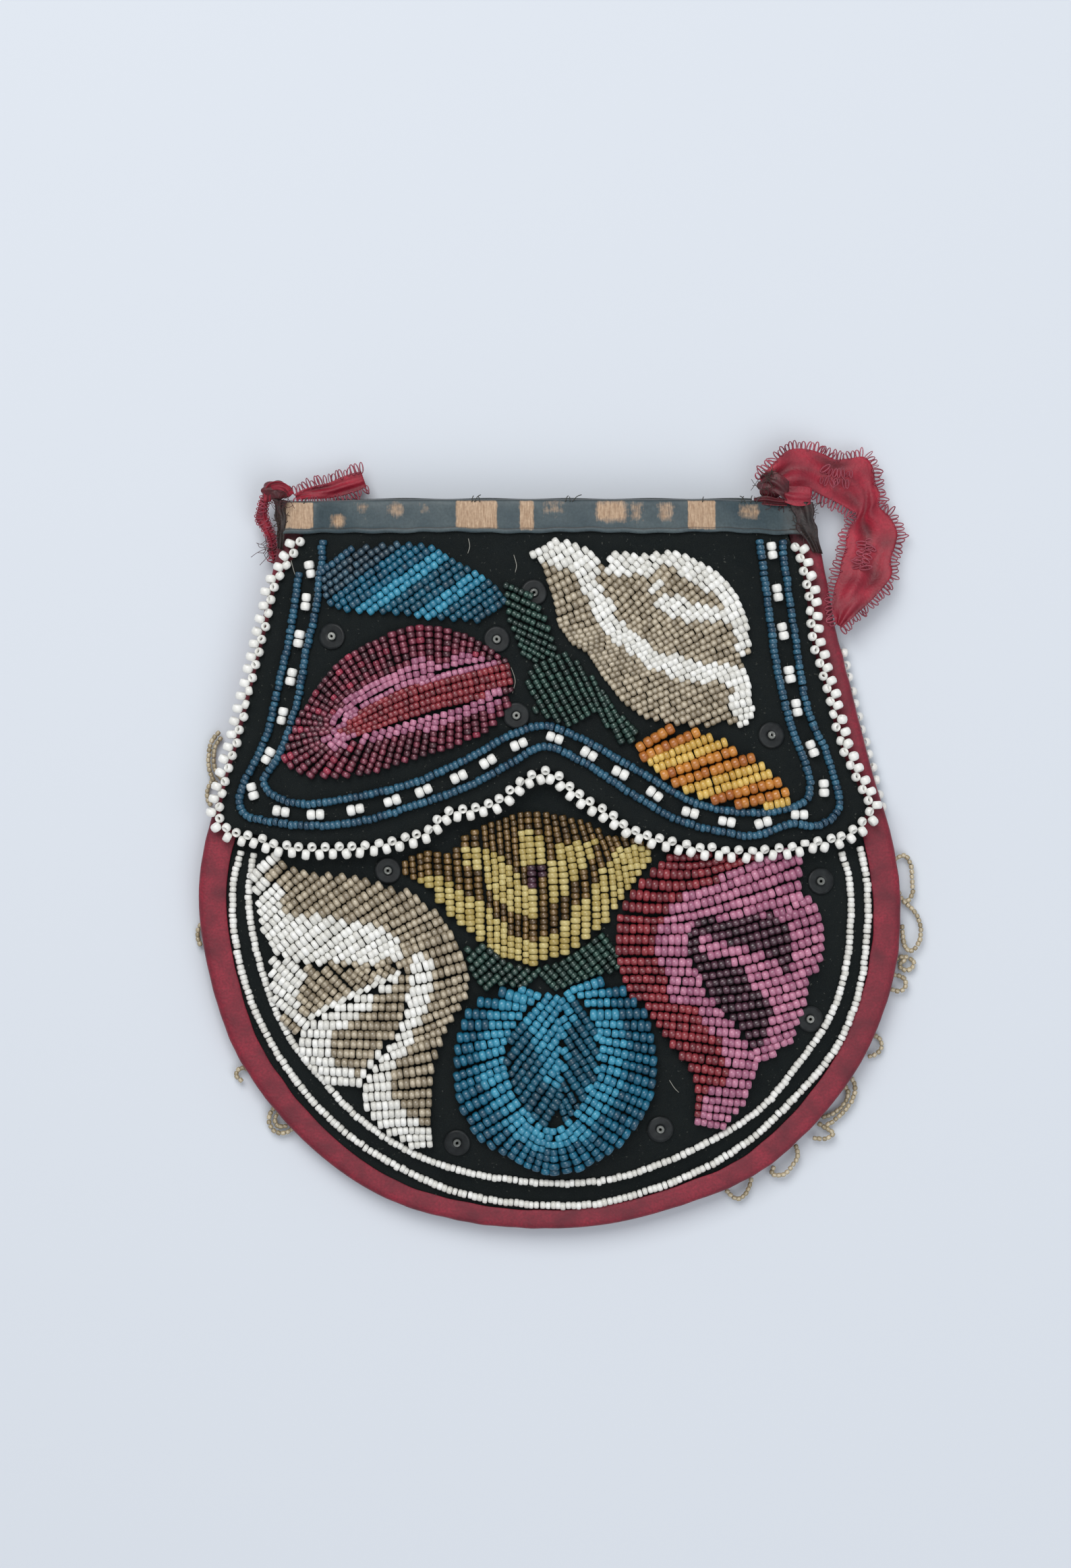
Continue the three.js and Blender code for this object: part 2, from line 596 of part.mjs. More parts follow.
// The outline of a two-row picot of beads, which steps in and out from bead to bead
function picot(line) {
  const step = (i) => EDGE_BEADS / 2 + (i % 2 ? EDGE_SCALLOP : -EDGE_SCALLOP);
  return [...beside(line, EDGE_BEADS / 2), ...beside(line, (i) => -step(i)).reverse()];
}

function addFront() {
  const panel = panelOutline(RIBBON + CLEAR, RIBBON + CLEAR);
  add("front_panel_velvet", onFront(panel, 0, FRONT_TOP), BLACK, 0.95);
  const lining = panelOutline(LINING_INSET, MOUTH_BINDING + CLEAR);
  add("front_panel_lining", onFront(lining, -CLEAR - LINING, -CLEAR), TAN, 0.9);
  const flap = flapOutline(CLOTH_INSET, RIBBON + CLEAR);
  add("front_flap_lining", onFront(flap, FLAP_LINING, FLAP_LINING + LINING), TAN, 0.9);
  add("front_flap_velvet", onFront(flap, FLAP_VELVET, FLAP_TOP), BLACK, 0.95);
  const top = at([0, MOUTH_Y])[1] - MOUTH_BINDING - CLEAR;
  const beads = onFront(picot(flapEdge), FLAP_LINING, FLAP_TOP + PAD_HEIGHT / 2).subtract(aboveY(top));
  add("front_flap_edge_beads", beads, WHITE, 0.35);
}

// How far the red ribbon reaches over the front at a numbered point of the seam
function cover(number) {
  const foot = Math.sin((Math.PI * number) / (seam.length - 1)) ** 6;
  return BINDING_SIDE + (BINDING_FOOT - BINDING_SIDE) * foot;
}

// Red ribbon folded over the seam: a C in section, cut from a flat ring
function addEdgeBinding() {
  const under = at([0, MOUTH_Y])[1] - RIBBON - CLEAR;
  const ring = [...below(seam, under), ...below(beside(seam, cover), under).reverse()];
  const sheets = [...beside(seam, RIBBON), ...beside(seam, SEAM_FLAT + CLEAR).reverse()];
  const between = prism(sheets, UNDER_BINDING + RIBBON, RIM_TOP - RIBBON);
  const made = prism(ring, UNDER_BINDING, RIM_TOP).subtract(between);
  add("edge_binding", made, RED, 0.6);
}

// Slate ribbon folded over the mouth edge. It covers the flap's top in front and ends in a lip in the pocket.
function addMouthBindings() {
  const mouth = at([0, MOUTH_Y])[1];
  const left = at([MOUTH_LEFT, 0])[0];
  const right = at([MOUTH_RIGHT, 0])[0];
  const lip = { left: left + LINING_INSET, right: right - LINING_INSET };
  const bar = (x0, x1, y0, y1) => [[x0, y0], [x1, y0], [x1, y1], [x0, y1]];
  const low = mouth - MOUTH_BINDING;
  const fold = mouth - RIBBON;
  const front = FLAP_TOP + CLEAR;
  const made = onFront(bar(left, right, low, mouth), front, front + RIBBON)
    .add(onFront(bar(lip.left, lip.right, fold, mouth), -CLEAR - RIBBON, front + RIBBON))
    .add(onFront(bar(lip.left, lip.right, low, mouth), -CLEAR - RIBBON, -CLEAR));
  add("mouth_binding_front", made, SLATE, 0.55);

  const back = { mouth: mouth + MOUTH_STEP, low: low + MOUTH_STEP, fold: fold + MOUTH_STEP };
  const behind = prism(bar(lip.left, lip.right, back.low, back.mouth), UNDER_BINDING, UNDER_BINDING + RIBBON)
    .add(prism(bar(lip.left, lip.right, back.fold, back.mouth), UNDER_BINDING, INNER_LIP_TOP))
    .add(prism(bar(lip.left, lip.right, back.low, back.mouth), INNER_LIP_TOP - RIBBON, INNER_LIP_TOP));
  add("mouth_binding_back", behind, DARK_SLATE, 0.6);
}

// A bead line, moved in from the seam where the red ribbon would cover it
function besideBinding(line) {
  return line.map((point) => {
    const { place, away, number } = nearestOn(seam, point);
    const room = Math.max(1, (cover(number) + CLEAR + LINE_BEAD / 2) / away);
    return [place[0] + (point[0] - place[0]) * room, place[1] + (point[1] - place[1]) * room];
  });
}

function addBeadLines() {
  const flapLevel = FLAP_TOP + CLEAR;
  const panelLevel = FRONT_TOP + CLEAR;
  const sewn = (line, level) => onFront(strip(line, LINE_BEAD), level, level + LINE_BEAD);
  add("flap_line_outer", sewn(smooth(BLUE_OUTER, 48), flapLevel), LINE_BLUE, 0.35);
  add("flap_line_inner", sewn(smooth(BLUE_INNER, 46), flapLevel), LINE_BLUE, 0.35);
  add("panel_line_outer", sewn(besideBinding(smooth(WHITE_OUTER, 32)), panelLevel), WHITE, 0.35);
  add("panel_line_inner", sewn(smooth(WHITE_INNER, 30), panelLevel), WHITE, 0.35);
}

// Pairs of white beads on the thread that runs from pair to pair, half-way between the two blue lines
function addPairs() {
  const level = FLAP_TOP + CLEAR;
  const outer = smooth(BLUE_OUTER, 60);
  const inner = smooth(BLUE_INNER, 60);
  const places = PAIRS.map((place) => {
    const [a, b] = [nearestOn(outer, at(place)).place, nearestOn(inner, at(place)).place];
    return { middle: [(a[0] + b[0]) / 2, (a[1] + b[1]) / 2], along: Math.atan2(b[0] - a[0], a[1] - b[1]) };
  });
  let made = onFront(strip(places.map(({ middle }) => middle), PAIR_THREAD), level, level + PAIR_THREAD);
  places.forEach(({ middle: [x, y], along }) => {
    const corner = (u, v) => [
      x + (u * PAIR_LENGTH * Math.cos(along) - v * PAIR_BEAD * Math.sin(along)) / 2,
      y + (u * PAIR_LENGTH * Math.sin(along) + v * PAIR_BEAD * Math.cos(along)) / 2,
    ];
    const pair = [corner(-1, -1), corner(1, -1), corner(1, 1), corner(-1, 1)];
    made = made.add(onFront(pair, level, level + PAIR_BEAD));
  });
  add("flap_bead_pairs", made, WHITE, 0.35);
}

// Raised beadwork: a pad in the ground colour, with a sunk field for each other colour
function addMotif(name, { on, color, outline, fields }) {
  const level = (on === "flap" ? FLAP_TOP : FRONT_TOP) + CLEAR;
  const edge = smooth(outline, outline.length + 4, true);
  let pad = onFront(edge, level, level + PAD_HEIGHT);
  let inside = prism(grown(edge, -CLEAR), -FAR / 2, FAR);
  if (on === "panel") {
    const reach = EDGE_BEADS / 2 + EDGE_SCALLOP;
    pad = pad.subtract(prism(flapOutline(-reach - CLEAR, 0), -FAR, FAR));
    inside = inside.subtract(prism(flapOutline(-reach - 2 * CLEAR, 0), -FAR, FAR));
  }
  for (const [field, { color: tint, rows, paths }] of Object.entries(fields)) {
    const width = rows * PAD_ROW;
    const lines = paths.map((path) => smooth(path, path.length + 1));
    const [first, ...others] = lines.map((line) =>
      onFront(strip(line, width), level + PAD_FLOOR + CLEAR, level + PAD_HEIGHT + CLEAR / 2),
    );
    const inlay = others.reduce((joined, other) => joined.add(other), first);
    for (const line of lines) {
      pad = pad.subtract(onFront(strip(line, width + 2 * CLEAR), level + PAD_FLOOR, level + 2 * PAD_HEIGHT));
    }
    add(`${name}_${field}`, inlay.intersect(inside), tint, 0.35);
  }
  add(name, pad, color, 0.35);
}

// A sequin with the bead that holds it
function addSequins() {
  for (const [on, places] of Object.entries(SEQUINS)) {
    places.forEach((place, i) => {
      const [x, y] = at(place);
      const level = (on === "flap" ? FLAP_TOP : FRONT_TOP) + CLEAR;
      const round = (radius, sides) =>
        Array.from({ length: sides }, (_, k) => {
          const turn = (2 * Math.PI * k) / sides;
          return [x + radius * Math.cos(turn), y + radius * Math.sin(turn)];
        });
      const disc = onFront(round(SEQUIN_RADIUS, 12), level, level + SEQUIN_THICKNESS);
      const bead = onFront(round(SEQUIN_BEAD, 6), level, level + SEQUIN_THICKNESS + SEQUIN_BEAD * 1.3);
      add(`${on}_sequin_${i + 1}`, disc.add(bead), SMOKE, 0.25);
    });
  }
}

// The middle of a knot, which sits against the mouth's binding
function knotPlace({ x, size }) {
  const [across, mouth] = at([x, MOUTH_Y]);
  return new THREE.Vector3(across, mouth + CLEAR + size[1], ribbonHeight(KNOT_HEIGHT));
}

// A drawn height of the ribbons at the real thickness of the cloth
function ribbonHeight(z) {
  return (z * RIM_TOP) / DRAWN_RIM_TOP;
}

// A flat ribbon that runs from its knot along a line in space
function ribbon({ knot, start, width, steps, path }) {
  const from = knotPlace(KNOTS[knot]);
  const first = new THREE.Vector3(from.x + start[0], from.y + start[1], ribbonHeight(start[2]));
  const places = [first, ...path.map(([x, y, z]) => new THREE.Vector3(...at([x, y]), ribbonHeight(z)))];
  const line = new THREE.CatmullRomCurve3(places, false, "centripetal").getSpacedPoints(steps);
  const flat = line.map((p) => [p.x, p.y]);
  const sides = [beside(flat, width / 2), beside(flat, -width / 2)];
  const positions = [];
  line.forEach((p, i) => {
    for (const z of [p.z, p.z + RIBBON]) {
      for (const side of sides) positions.push(...side[i], z);
    }
  });
  const faces = [];
  const quad = (a, b, c, d) => faces.push(a, b, c, a, c, d);
  for (let i = 0; i < steps; i += 1) {
    const a = i * 4;
    quad(a, a + 4, a + 5, a + 1);
    quad(a + 2, a + 3, a + 7, a + 6);
    quad(a, a + 2, a + 6, a + 4);
    quad(a + 1, a + 5, a + 7, a + 3);
  }
  const end = steps * 4;
  quad(0, 1, 3, 2);
  quad(end, end + 2, end + 3, end + 1);
  const geometry = new THREE.BufferGeometry()
    .setAttribute("position", new THREE.BufferAttribute(new Float32Array(positions), 3))
    .setIndex(faces);
  return solid(geometry);
}

function addRibbons() {
  for (const [name, form] of Object.entries(RIBBONS)) add(name, ribbon(form), LOOP_RED, 0.5);
  for (const [side, knot] of Object.entries(KNOTS)) {
    const { x, y, z } = knotPlace(knot);
    const ball = new THREE.SphereGeometry(1, 10, 6).scale(...knot.size).translate(x, y, z);
    add(`ribbon_knot_${side}`, solid(ball), KNOT_RED, 0.6);
  }
}

// Loops of beads on a tape that is sewn under the foot's binding. Each starts and ends on the tape's middle.
function addFringe() {
  const tapeLine = beside(seam, FRINGE_TAPE / 2 + RIBBON).filter(([, y]) => y < 0);
  let made = prism(strip(tapeLine, FRINGE_TAPE), 0, BACK_FLAP_LINING_TOP);
  for (const point of FRINGE_LOOPS) {
    const [x, y] = at(point);
    const [seatX, seatY] = nearestOn(tapeLine, [x, y]).place;
    const turn = Math.atan2(y - seatY, x - seatX);
    const arc = Array.from({ length: 5 }, (_, k) => {
      const a = turn + (Math.PI * k) / 4 - Math.PI / 2;
      return [x + FRINGE_REACH * Math.cos(a), y + FRINGE_REACH * Math.sin(a)];
    });
    const root = ([u, v]) => [u + seatX - x, v + seatY - y];
    const line = [root(arc[0]), ...arc, root(arc[4])];
    made = made.add(prism(strip(line, FRINGE_BEAD), FRINGE_SUNK, BACK_FLAP_LINING_TOP - FRINGE_SUNK));
  }
  add("loop_fringe", made, LOOP_TAN, 0.35);
}

addBack();
addFront();
addEdgeBinding();
addMouthBindings();
addBeadLines();
addPairs();
for (const [name, motif] of Object.entries(MOTIFS)) addMotif(name, motif);
addSequins();
addRibbons();
addFringe();

// The origin is under the middle of the whole
const box = new THREE.Box3().setFromObject(placed);
placed.position.set(-(box.min.x + box.max.x) / 2, -(box.min.y + box.max.y) / 2, -box.min.z);

export default bag;
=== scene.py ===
# %% [markdown]
# # A beaded velvet medicine bag
# The bag lies face up on a pale table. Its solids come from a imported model, and this lesson dresses them:
# velvet, folded ribbons, thousands of glass beads, sequins and loose threads. Every size is in millimetres
# until it goes into a mesh.

# %% Load the fixed frame
import math

import bpy
import numpy as np
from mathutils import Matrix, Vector
from mathutils.geometry import delaunay_2d_cdt


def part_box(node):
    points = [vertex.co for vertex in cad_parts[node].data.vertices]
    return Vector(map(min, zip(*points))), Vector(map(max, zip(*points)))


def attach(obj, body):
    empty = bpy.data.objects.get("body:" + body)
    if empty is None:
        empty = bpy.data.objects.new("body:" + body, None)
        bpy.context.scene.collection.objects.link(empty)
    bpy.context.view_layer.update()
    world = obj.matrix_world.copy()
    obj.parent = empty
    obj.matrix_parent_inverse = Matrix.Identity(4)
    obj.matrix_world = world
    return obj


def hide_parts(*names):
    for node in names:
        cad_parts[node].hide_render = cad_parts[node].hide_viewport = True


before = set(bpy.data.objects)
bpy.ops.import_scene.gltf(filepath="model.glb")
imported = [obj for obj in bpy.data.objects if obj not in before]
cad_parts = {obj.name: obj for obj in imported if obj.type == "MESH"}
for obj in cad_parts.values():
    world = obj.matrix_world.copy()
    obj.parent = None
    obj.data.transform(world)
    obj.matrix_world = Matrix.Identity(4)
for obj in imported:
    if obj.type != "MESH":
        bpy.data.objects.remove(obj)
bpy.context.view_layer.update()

MM = 0.001
rng = np.random.default_rng(7)

# %% [markdown]
# Outlines were drawn in millimetres from a point in the middle of the bag's body. One sequin's node tells how
# far that drawing lies from the frame's own origin, so nothing is fitted by eye.

# %% Where the drawing lies in the frame
KEY_SEQUIN = (-10.7, 46.0)
low, high = (Vector(corner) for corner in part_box("flap_sequin_2"))
OFFSET = np.array([(low.x + high.x) / 2 / MM - KEY_SEQUIN[0], (low.y + high.y) / 2 / MM - KEY_SEQUIN[1], 0.0])
PX_PER_MM = 7.2
DRAWN_ORIGIN_PX = (814, 1280)
print("offset", OFFSET.round(3))


def metres(points):
    """Drawn millimetres to the frame's metres."""
    return (np.asarray(points, float) + OFFSET) * MM


def from_px(x, y):
    """A place read off the photograph, in drawn millimetres."""
    return ((x - DRAWN_ORIGIN_PX[0]) / PX_PER_MM, (DRAWN_ORIGIN_PX[1] - y) / PX_PER_MM)


# %% [markdown]
# The layers of the bag lie on each other like the pages of a book. These heights are the solids' own.

# %% Heights of the layers
CLEAR = 0.3
VELVET = 0.7
LINING = 0.3
BACK_PANEL = 2.4
BACK_LINING = 3.4
FRONT_BASE = 3.4
FULL_RISE = 5.9
SEAM_FLAT = 6.8
SEAM_RISE = 15.0
FRONT_TOP = VELVET
FLAP_LINING = 1.8
FLAP_VELVET = 2.4
FLAP_TOP = 3.1
MOUTH_Y = 74.7
MOUTH_BINDING = 6.8
BACK_ASIDE = 1.2
EDGE_BEADS = 2.8
LINING_INSET = SEAM_FLAT + SEAM_RISE * 0.3

# %% Outlines of the bag
SEAM_EDGE = [
    (-53.9, 79), (-56, 66), (-58.5, 54), (-61, 42), (-64, 30), (-67, 18.5), (-70.3, 7.6), (-72.2, -2),
    (-72.2, -12), (-69.4, -26.4), (-65.4, -37.8), (-58.5, -48.8), (-48.2, -59.7), (-36.7, -67.8),
    (-25.1, -72.4), (-8, -75.3), (11.7, -74.7), (31.4, -69.4), (42.9, -64.3), (53.9, -55.1), (63.1, -43.6),
    (67.6, -35), (71.1, -24.6), (72.6, -14.9), (72.4, -3.3), (70.5, 7), (67.5, 16.7), (64.5, 28), (61.5, 40),
    (59.4, 48), (57.5, 58), (55.8, 67), (52.9, 79)]
FLAP_EDGE = [
    (-51.5, 68), (-53.5, 63.5), (-57, 57.5), (-58.8, 50), (-61.9, 37.5), (-65, 25.1), (-67.8, 15.3),
    (-68.5, 9), (-66, 6.2), (-61, 5.2), (-55, 3.3), (-43.6, 2.9), (-33.2, 3.9), (-24.5, 6.5), (-21.2, 10),
    (-16, 10.8), (-9.4, 13), (-5.5, 16.6), (-0.4, 18.5), (5.7, 14), (11.4, 10.4), (17.1, 6.6), (25.6, 3.9),
    (35, 2.4), (44.6, 2.4), (54, 3.9), (60.4, 5.3), (64.6, 7.8), (66.8, 11.4), (64.6, 16.3), (61.1, 24),
    (58.2, 35), (55, 46.4), (53.9, 56), (52.6, 62), (50, 68)]
BLUE_OUTER = [
    (-51.5, 60), (-53.3, 47.5), (-56.5, 33.3), (-58.2, 26.3), (-61.1, 19.9), (-63.7, 14.6), (-63, 10.4),
    (-58.2, 8.8), (-45.6, 7.9), (-36, 9.4), (-26.5, 12.4), (-17.1, 15.7), (-7.6, 20.8), (-1, 24.1), (6.7, 21),
    (16.1, 15), (25.6, 9.4), (35, 6.7), (42.6, 5.9), (49.3, 8.2), (56, 8), (59.6, 11.4), (57.8, 20.8),
    (53.1, 32.1), (50.7, 46.3), (49.3, 55.7), (47.9, 66.6)]
BLUE_INNER = [
    (-46.4, 66.6), (-47.9, 52.8), (-50.1, 42.9), (-51.8, 33), (-55.7, 21.9), (-58.8, 17), (-57.4, 14.6),
    (-54, 13), (-49.3, 12.3), (-42.2, 13.3), (-35.1, 14.6), (-26.5, 17.1), (-17.1, 21.4), (-7.6, 26.5),
    (-1.5, 28.4), (4, 26.9), (11.4, 23.1), (20.8, 17.6), (30.3, 12.4), (39.9, 10.6), (49.3, 11.4),
    (53.3, 13.8), (53.2, 18.6), (49.7, 28.2), (46.9, 39.6), (44.6, 55.7), (43.2, 66.6)]
WHITE_OUTER = [
    (-63.6, 2.5), (-65.3, -5), (-65, -14), (-63.3, -23), (-59.7, -32.6), (-53.9, -42.5), (-44.7, -53.3),
    (-33.2, -61.5), (-19.3, -67.8), (-2.1, -70.6), (11.7, -70), (30.3, -63.8), (41.8, -56.8), (51.5, -47.6),
    (59, -38.6), (63.6, -28.1), (65.7, -14.9), (65.7, -3.3), (64.2, 3.5)]
WHITE_INNER = [
    (-60.8, 2.2), (-61.8, -5), (-61.3, -13), (-58.8, -23.5), (-53.9, -35), (-46.9, -44.2), (-39.2, -52.4),
    (-29.7, -58.8), (-19.3, -63), (-2.1, -65.8), (11.7, -65.3), (25.7, -60.8), (42.9, -51.1), (50.4, -42.5),
    (57.4, -32.6), (60.8, -23.5), (62.2, -11.9), (61.9, -3.3), (60.2, 2.5)]
PAIRS = [
    (-49.4, 61.4), (-50.3, 54), (-51.4, 46.3), (-53.1, 38.3), (-55.1, 30.6), (-57.6, 22.1), (-61.2, 13.8),
    (-55.3, 10.4), (-47.6, 10.1), (-39.6, 11), (-31.9, 12.2), (-25.3, 14.7), (-18.5, 17.8), (-12.4, 20.8),
    (-6.1, 24), (1, 25.6), (7.6, 21.7), (13.8, 17.1), (21.1, 13.3), (28.8, 10.4), (36.3, 8.8), (43.5, 8.3),
    (51.8, 10.2), (56.3, 15.1), (53.6, 23.2), (50.6, 32.1), (49.2, 38.9), (47.2, 47.6), (46.7, 55.6),
    (45.6, 64.3)]
SEQUINS = {
    "flap": [(-44.6, 46.7), (-10.7, 46), (-3.1, 55.6), (-6.7, 30.4), (45.6, 26.4)],
    "panel": [(-33.1, -1.4), (-18.9, -57.4), (55.9, -3.6), (53.8, -32), (22.9, -54.6)]}

# %% [markdown]
# A few helpers for lines. `curve` runs smoothly through drawn points and comes back in even steps, in two or
# three dimensions. `beside` moves a line to its left. `distance` and `inside` answer the two questions that
# decide where a bead may sit.

# %% Helpers for lines and areas
def curve(points, step, closed=False):
    """Evenly spaced places on a centripetal Catmull-Rom curve."""
    p = np.asarray(points, float)
    p = np.vstack([p[-1:], p, p[:2]]) if closed else np.vstack([2 * p[:1] - p[1:2], p, 2 * p[-1:] - p[-2:-1]])
    fine = []
    for i in range(1, len(p) - 2):
        p0, p1, p2, p3 = p[i - 1:i + 3]
        t1 = np.linalg.norm(p1 - p0) ** 0.5
        t2 = t1 + np.linalg.norm(p2 - p1) ** 0.5
        t3 = t2 + np.linalg.norm(p3 - p2) ** 0.5
        t = np.linspace(t1, t2, 12, endpoint=False)[:, None]
        a1 = (t1 - t) / t1 * p0 + t / t1 * p1
        a2 = (t2 - t) / (t2 - t1) * p1 + (t - t1) / (t2 - t1) * p2
        a3 = (t3 - t) / (t3 - t2) * p2 + (t - t2) / (t3 - t2) * p3
        b1 = (t2 - t) / t2 * a1 + t / t2 * a2
        b2 = (t3 - t) / (t3 - t1) * a2 + (t - t1) / (t3 - t1) * a3
        fine.append((t2 - t) / (t2 - t1) * b1 + (t - t1) / (t2 - t1) * b2)
    return even(np.vstack(fine + [p[-2:-1]]), step, closed)


def even(line, step, closed=False):
    """A polyline in even steps of about the given length."""
    line = np.asarray(line, float)
    along = np.concatenate([[0], np.cumsum(np.linalg.norm(np.diff(line, axis=0), axis=1))])
    count = max(2, round(along[-1] / step))
    at = np.linspace(0, along[-1], count + 1)
    places = np.stack([np.interp(at, along, line[:, k]) for k in range(line.shape[1])], axis=1)
    return places[:-1] if closed else places


def headings(line):
    """The direction of a line at each of its places, of length one."""
    way = np.gradient(np.asarray(line, float), axis=0)
    return way / np.linalg.norm(way, axis=1, keepdims=True)


def beside(line, away):
    """A line moved to its left. The distance may differ from place to place."""
    way = headings(line)
    return line + np.stack([-way[:, 1], way[:, 0]], axis=1) * np.reshape(away, (-1, 1))


def distance(line, places):
    """How far each place is from a line."""
    places = np.atleast_2d(places)
    a, d = line[:-1], np.diff(line, axis=0)
    square = (d ** 2).sum(axis=1)
    result = np.empty(len(places))
    for start in range(0, len(places), 2000):
        p = places[start:start + 2000, None, :]
        t = np.clip(((p - a) * d).sum(axis=2) / square, 0, 1)
        result[start:start + 2000] = np.sqrt(((p - a - t[..., None] * d) ** 2).sum(axis=2)).min(axis=1)
    return result


def inside(outline, places):
    """Whether each place lies inside a closed outline."""
    places = np.atleast_2d(places)
    x, y = places[:, 0], places[:, 1]
    result = np.zeros(len(places), bool)
    outline = np.asarray(outline, float)
    for (x0, y0), (x1, y1) in zip(outline, np.roll(outline, -1, axis=0)):
        if y0 != y1:
            result ^= ((y0 > y) != (y1 > y)) & (x < (x1 - x0) * (y - y0) / (y1 - y0) + x0)
    return result


# %% [markdown]
# The front of the bag is not flat. It lies level over the seam all round and rises to a low mound over the
# pocket. One function gives that surface, and every layer, bead and sequin of the front reads its height from
# it, so no two layers can meet.

# %% The mound that the front lies on
seam = curve(SEAM_EDGE, 2.0)
seam_long = np.vstack([[seam[0] + (0, 40)], seam, [seam[-1] + (0, 40)]])
flap_edge = curve(FLAP_EDGE, 0.7)


def mound(places):
    """Height of the surface that the front lies on, above the table."""
    places = np.atleast_2d(places)[:, :2]
    t = (distance(seam_long, places) - SEAM_FLAT) / SEAM_RISE
    t = np.clip((t + np.sqrt(t * t + 0.003)) / 2, 0, 1)
    rise = 1 - (1 - t) ** 1.6
    x, y = places[:, 0], places[:, 1]
    sway = 0.22 * np.sin(x / 11 + 0.6) * np.cos(y / 14) + 0.14 * np.sin(x / 23 - y / 9)
    return FRONT_BASE + FULL_RISE * rise + sway * rise


def table(places):
    return np.zeros(len(np.atleast_2d(places)))


print("mound in the middle", mound([(0, 0)]).round(2), "and at the seam", mound([(-66, 0)]).round(2))

# %% [markdown]
# Three ways to make a mesh cover the whole bag: a sheet cut to an outline, a loft between rows of points, and
# a tube along a line. Each puts its places straight into the mesh, so every object stays at the origin.

# %% Helpers for meshes
def set_out(name, data):
    """A new object in the scene, at the origin."""
    made = bpy.data.objects.new(name, data)
    bpy.context.scene.collection.objects.link(made)
    return made


def smooth_mesh(name, vertices, faces):
    mesh = bpy.data.meshes.new(name)
    mesh.from_pydata([tuple(v) for v in vertices], [], faces)
    mesh.shade_smooth()
    return mesh


def new_piece(name, vertices, faces, finish):
    mesh = smooth_mesh(name, vertices, faces)
    mesh.materials.append(finish)
    return set_out(name, mesh)


def wall(rows, sides, start=0):
    """The four-sided faces between rings of points, each ring closed on itself."""
    faces = []
    for i in range(rows - 1):
        here, beyond = start + i * sides, start + (i + 1) * sides
        for j in range(sides):
            k = (j + 1) % sides
            faces.append((here + j, here + k, beyond + k, beyond + j))
    return faces


def cut_sheet(name, outline, low, high, finish, base=mound, spacing=1.3, rough=0.0):
    """A closed sheet of cloth inside an outline, between two heights over its base."""
    rim = even(np.vstack([outline, outline[:1]]), 0.9, closed=True)
    x0, y0 = rim.min(axis=0)
    x1, y1 = rim.max(axis=0)
    xs, ys = np.arange(x0, x1, spacing), np.arange(y0, y1, spacing * 0.866)
    grid = np.array([(x + spacing / 2 * (i % 2), y) for i, y in enumerate(ys) for x in xs])
    grid = grid[inside(rim, grid)]
    grid = grid[distance(np.vstack([rim, rim[:1]]), grid) > 0.5 * spacing]
    points = [Vector(p) for p in rim] + [Vector(p) for p in grid]
    edges = [(i, (i + 1) % len(rim)) for i in range(len(rim))]
    places, border, faces, *_ = delaunay_2d_cdt(points, edges, [], 1, 1e-5)
    flat = np.array([tuple(p) for p in places])
    height = base(flat)
    lift = rough * rng.standard_normal(len(flat))
    top = np.column_stack([flat, height + high + lift])
    under = np.column_stack([flat, height + low])
    count = len(flat)
    shell = [tuple(f) for f in faces] + [tuple(count + i for i in reversed(f)) for f in faces]
    once = {}
    for face in faces:
        for a, b in zip(face, (*face[1:], face[0])):
            once[(a, b)] = True
    shell += [(b, a, count + a, count + b) for a, b in once if (b, a) not in once]
    return new_piece(name, metres(np.vstack([top, under])), shell, finish)


def loft(name, rows, finish):
    """A closed surface through rows of points, with a cap at each end."""
    rows = np.asarray(rows, float)
    count, width = rows.shape[:2]
    caps = [tuple(reversed(range(width))), tuple((count - 1) * width + j for j in range(width))]
    return new_piece(name, metres(rows.reshape(-1, 3)), wall(count, width) + caps, finish)


def tube_rows(line, radius, sides):
    """Rings of points round a line in space."""
    line = np.asarray(line, float)
    way = headings(line)
    across = np.cross(way, [0, 0, 1.0])
    across /= np.maximum(np.linalg.norm(across, axis=1, keepdims=True), 1e-6)
    up = np.cross(across, way)
    turn = np.linspace(0, 2 * math.pi, sides, endpoint=False)
    thin = np.broadcast_to(radius, len(line))[:, None, None]
    ring = np.cos(turn)[None, :, None] * across[:, None] + np.sin(turn)[None, :, None] * up[:, None]
    return line[:, None] + thin * ring


def tubes(name, lines, radius, finish, sides=5):
    """Several tubes in one piece."""
    vertices, faces = [], []
    for line in lines:
        rows = tube_rows(line, radius, sides)
        start = sum(len(v) for v in vertices)
        vertices.append(rows.reshape(-1, 3))
        faces += [(face[0], *reversed(face[1:])) for face in wall(len(rows), sides, start)]
        last = start + (len(rows) - 1) * sides
        faces += [tuple(start + j for j in range(sides)), tuple(last + j for j in reversed(range(sides)))]
    return new_piece(name, metres(np.vstack(vertices)), faces, finish)


def dress(piece, slot, *nodes):
    """Every piece rides on the bag's one body and stands for its nodes. Its slot is not used."""
    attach(piece, "root")
    if nodes:
        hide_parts(*nodes)
    return piece


# %% [markdown]
# ## Finishes
# The same few effects come back in many of the materials: a weave of crossing threads, a slow stain that
# changes over centimetres, and a fine grain. Each is a node group, built once. It reads Object coordinates,
# so it sits still on the piece and needs no unwrapping.

# %% Node helpers
def linear(red, green, blue):
    """An 8-bit screen colour as the linear colour that Blender's sockets hold."""
    def channel(value):
        value /= 255
        return value / 12.92 if value <= 0.04045 else ((value + 0.055) / 1.055) ** 2.4
    return (channel(red), channel(green), channel(blue), 1.0)


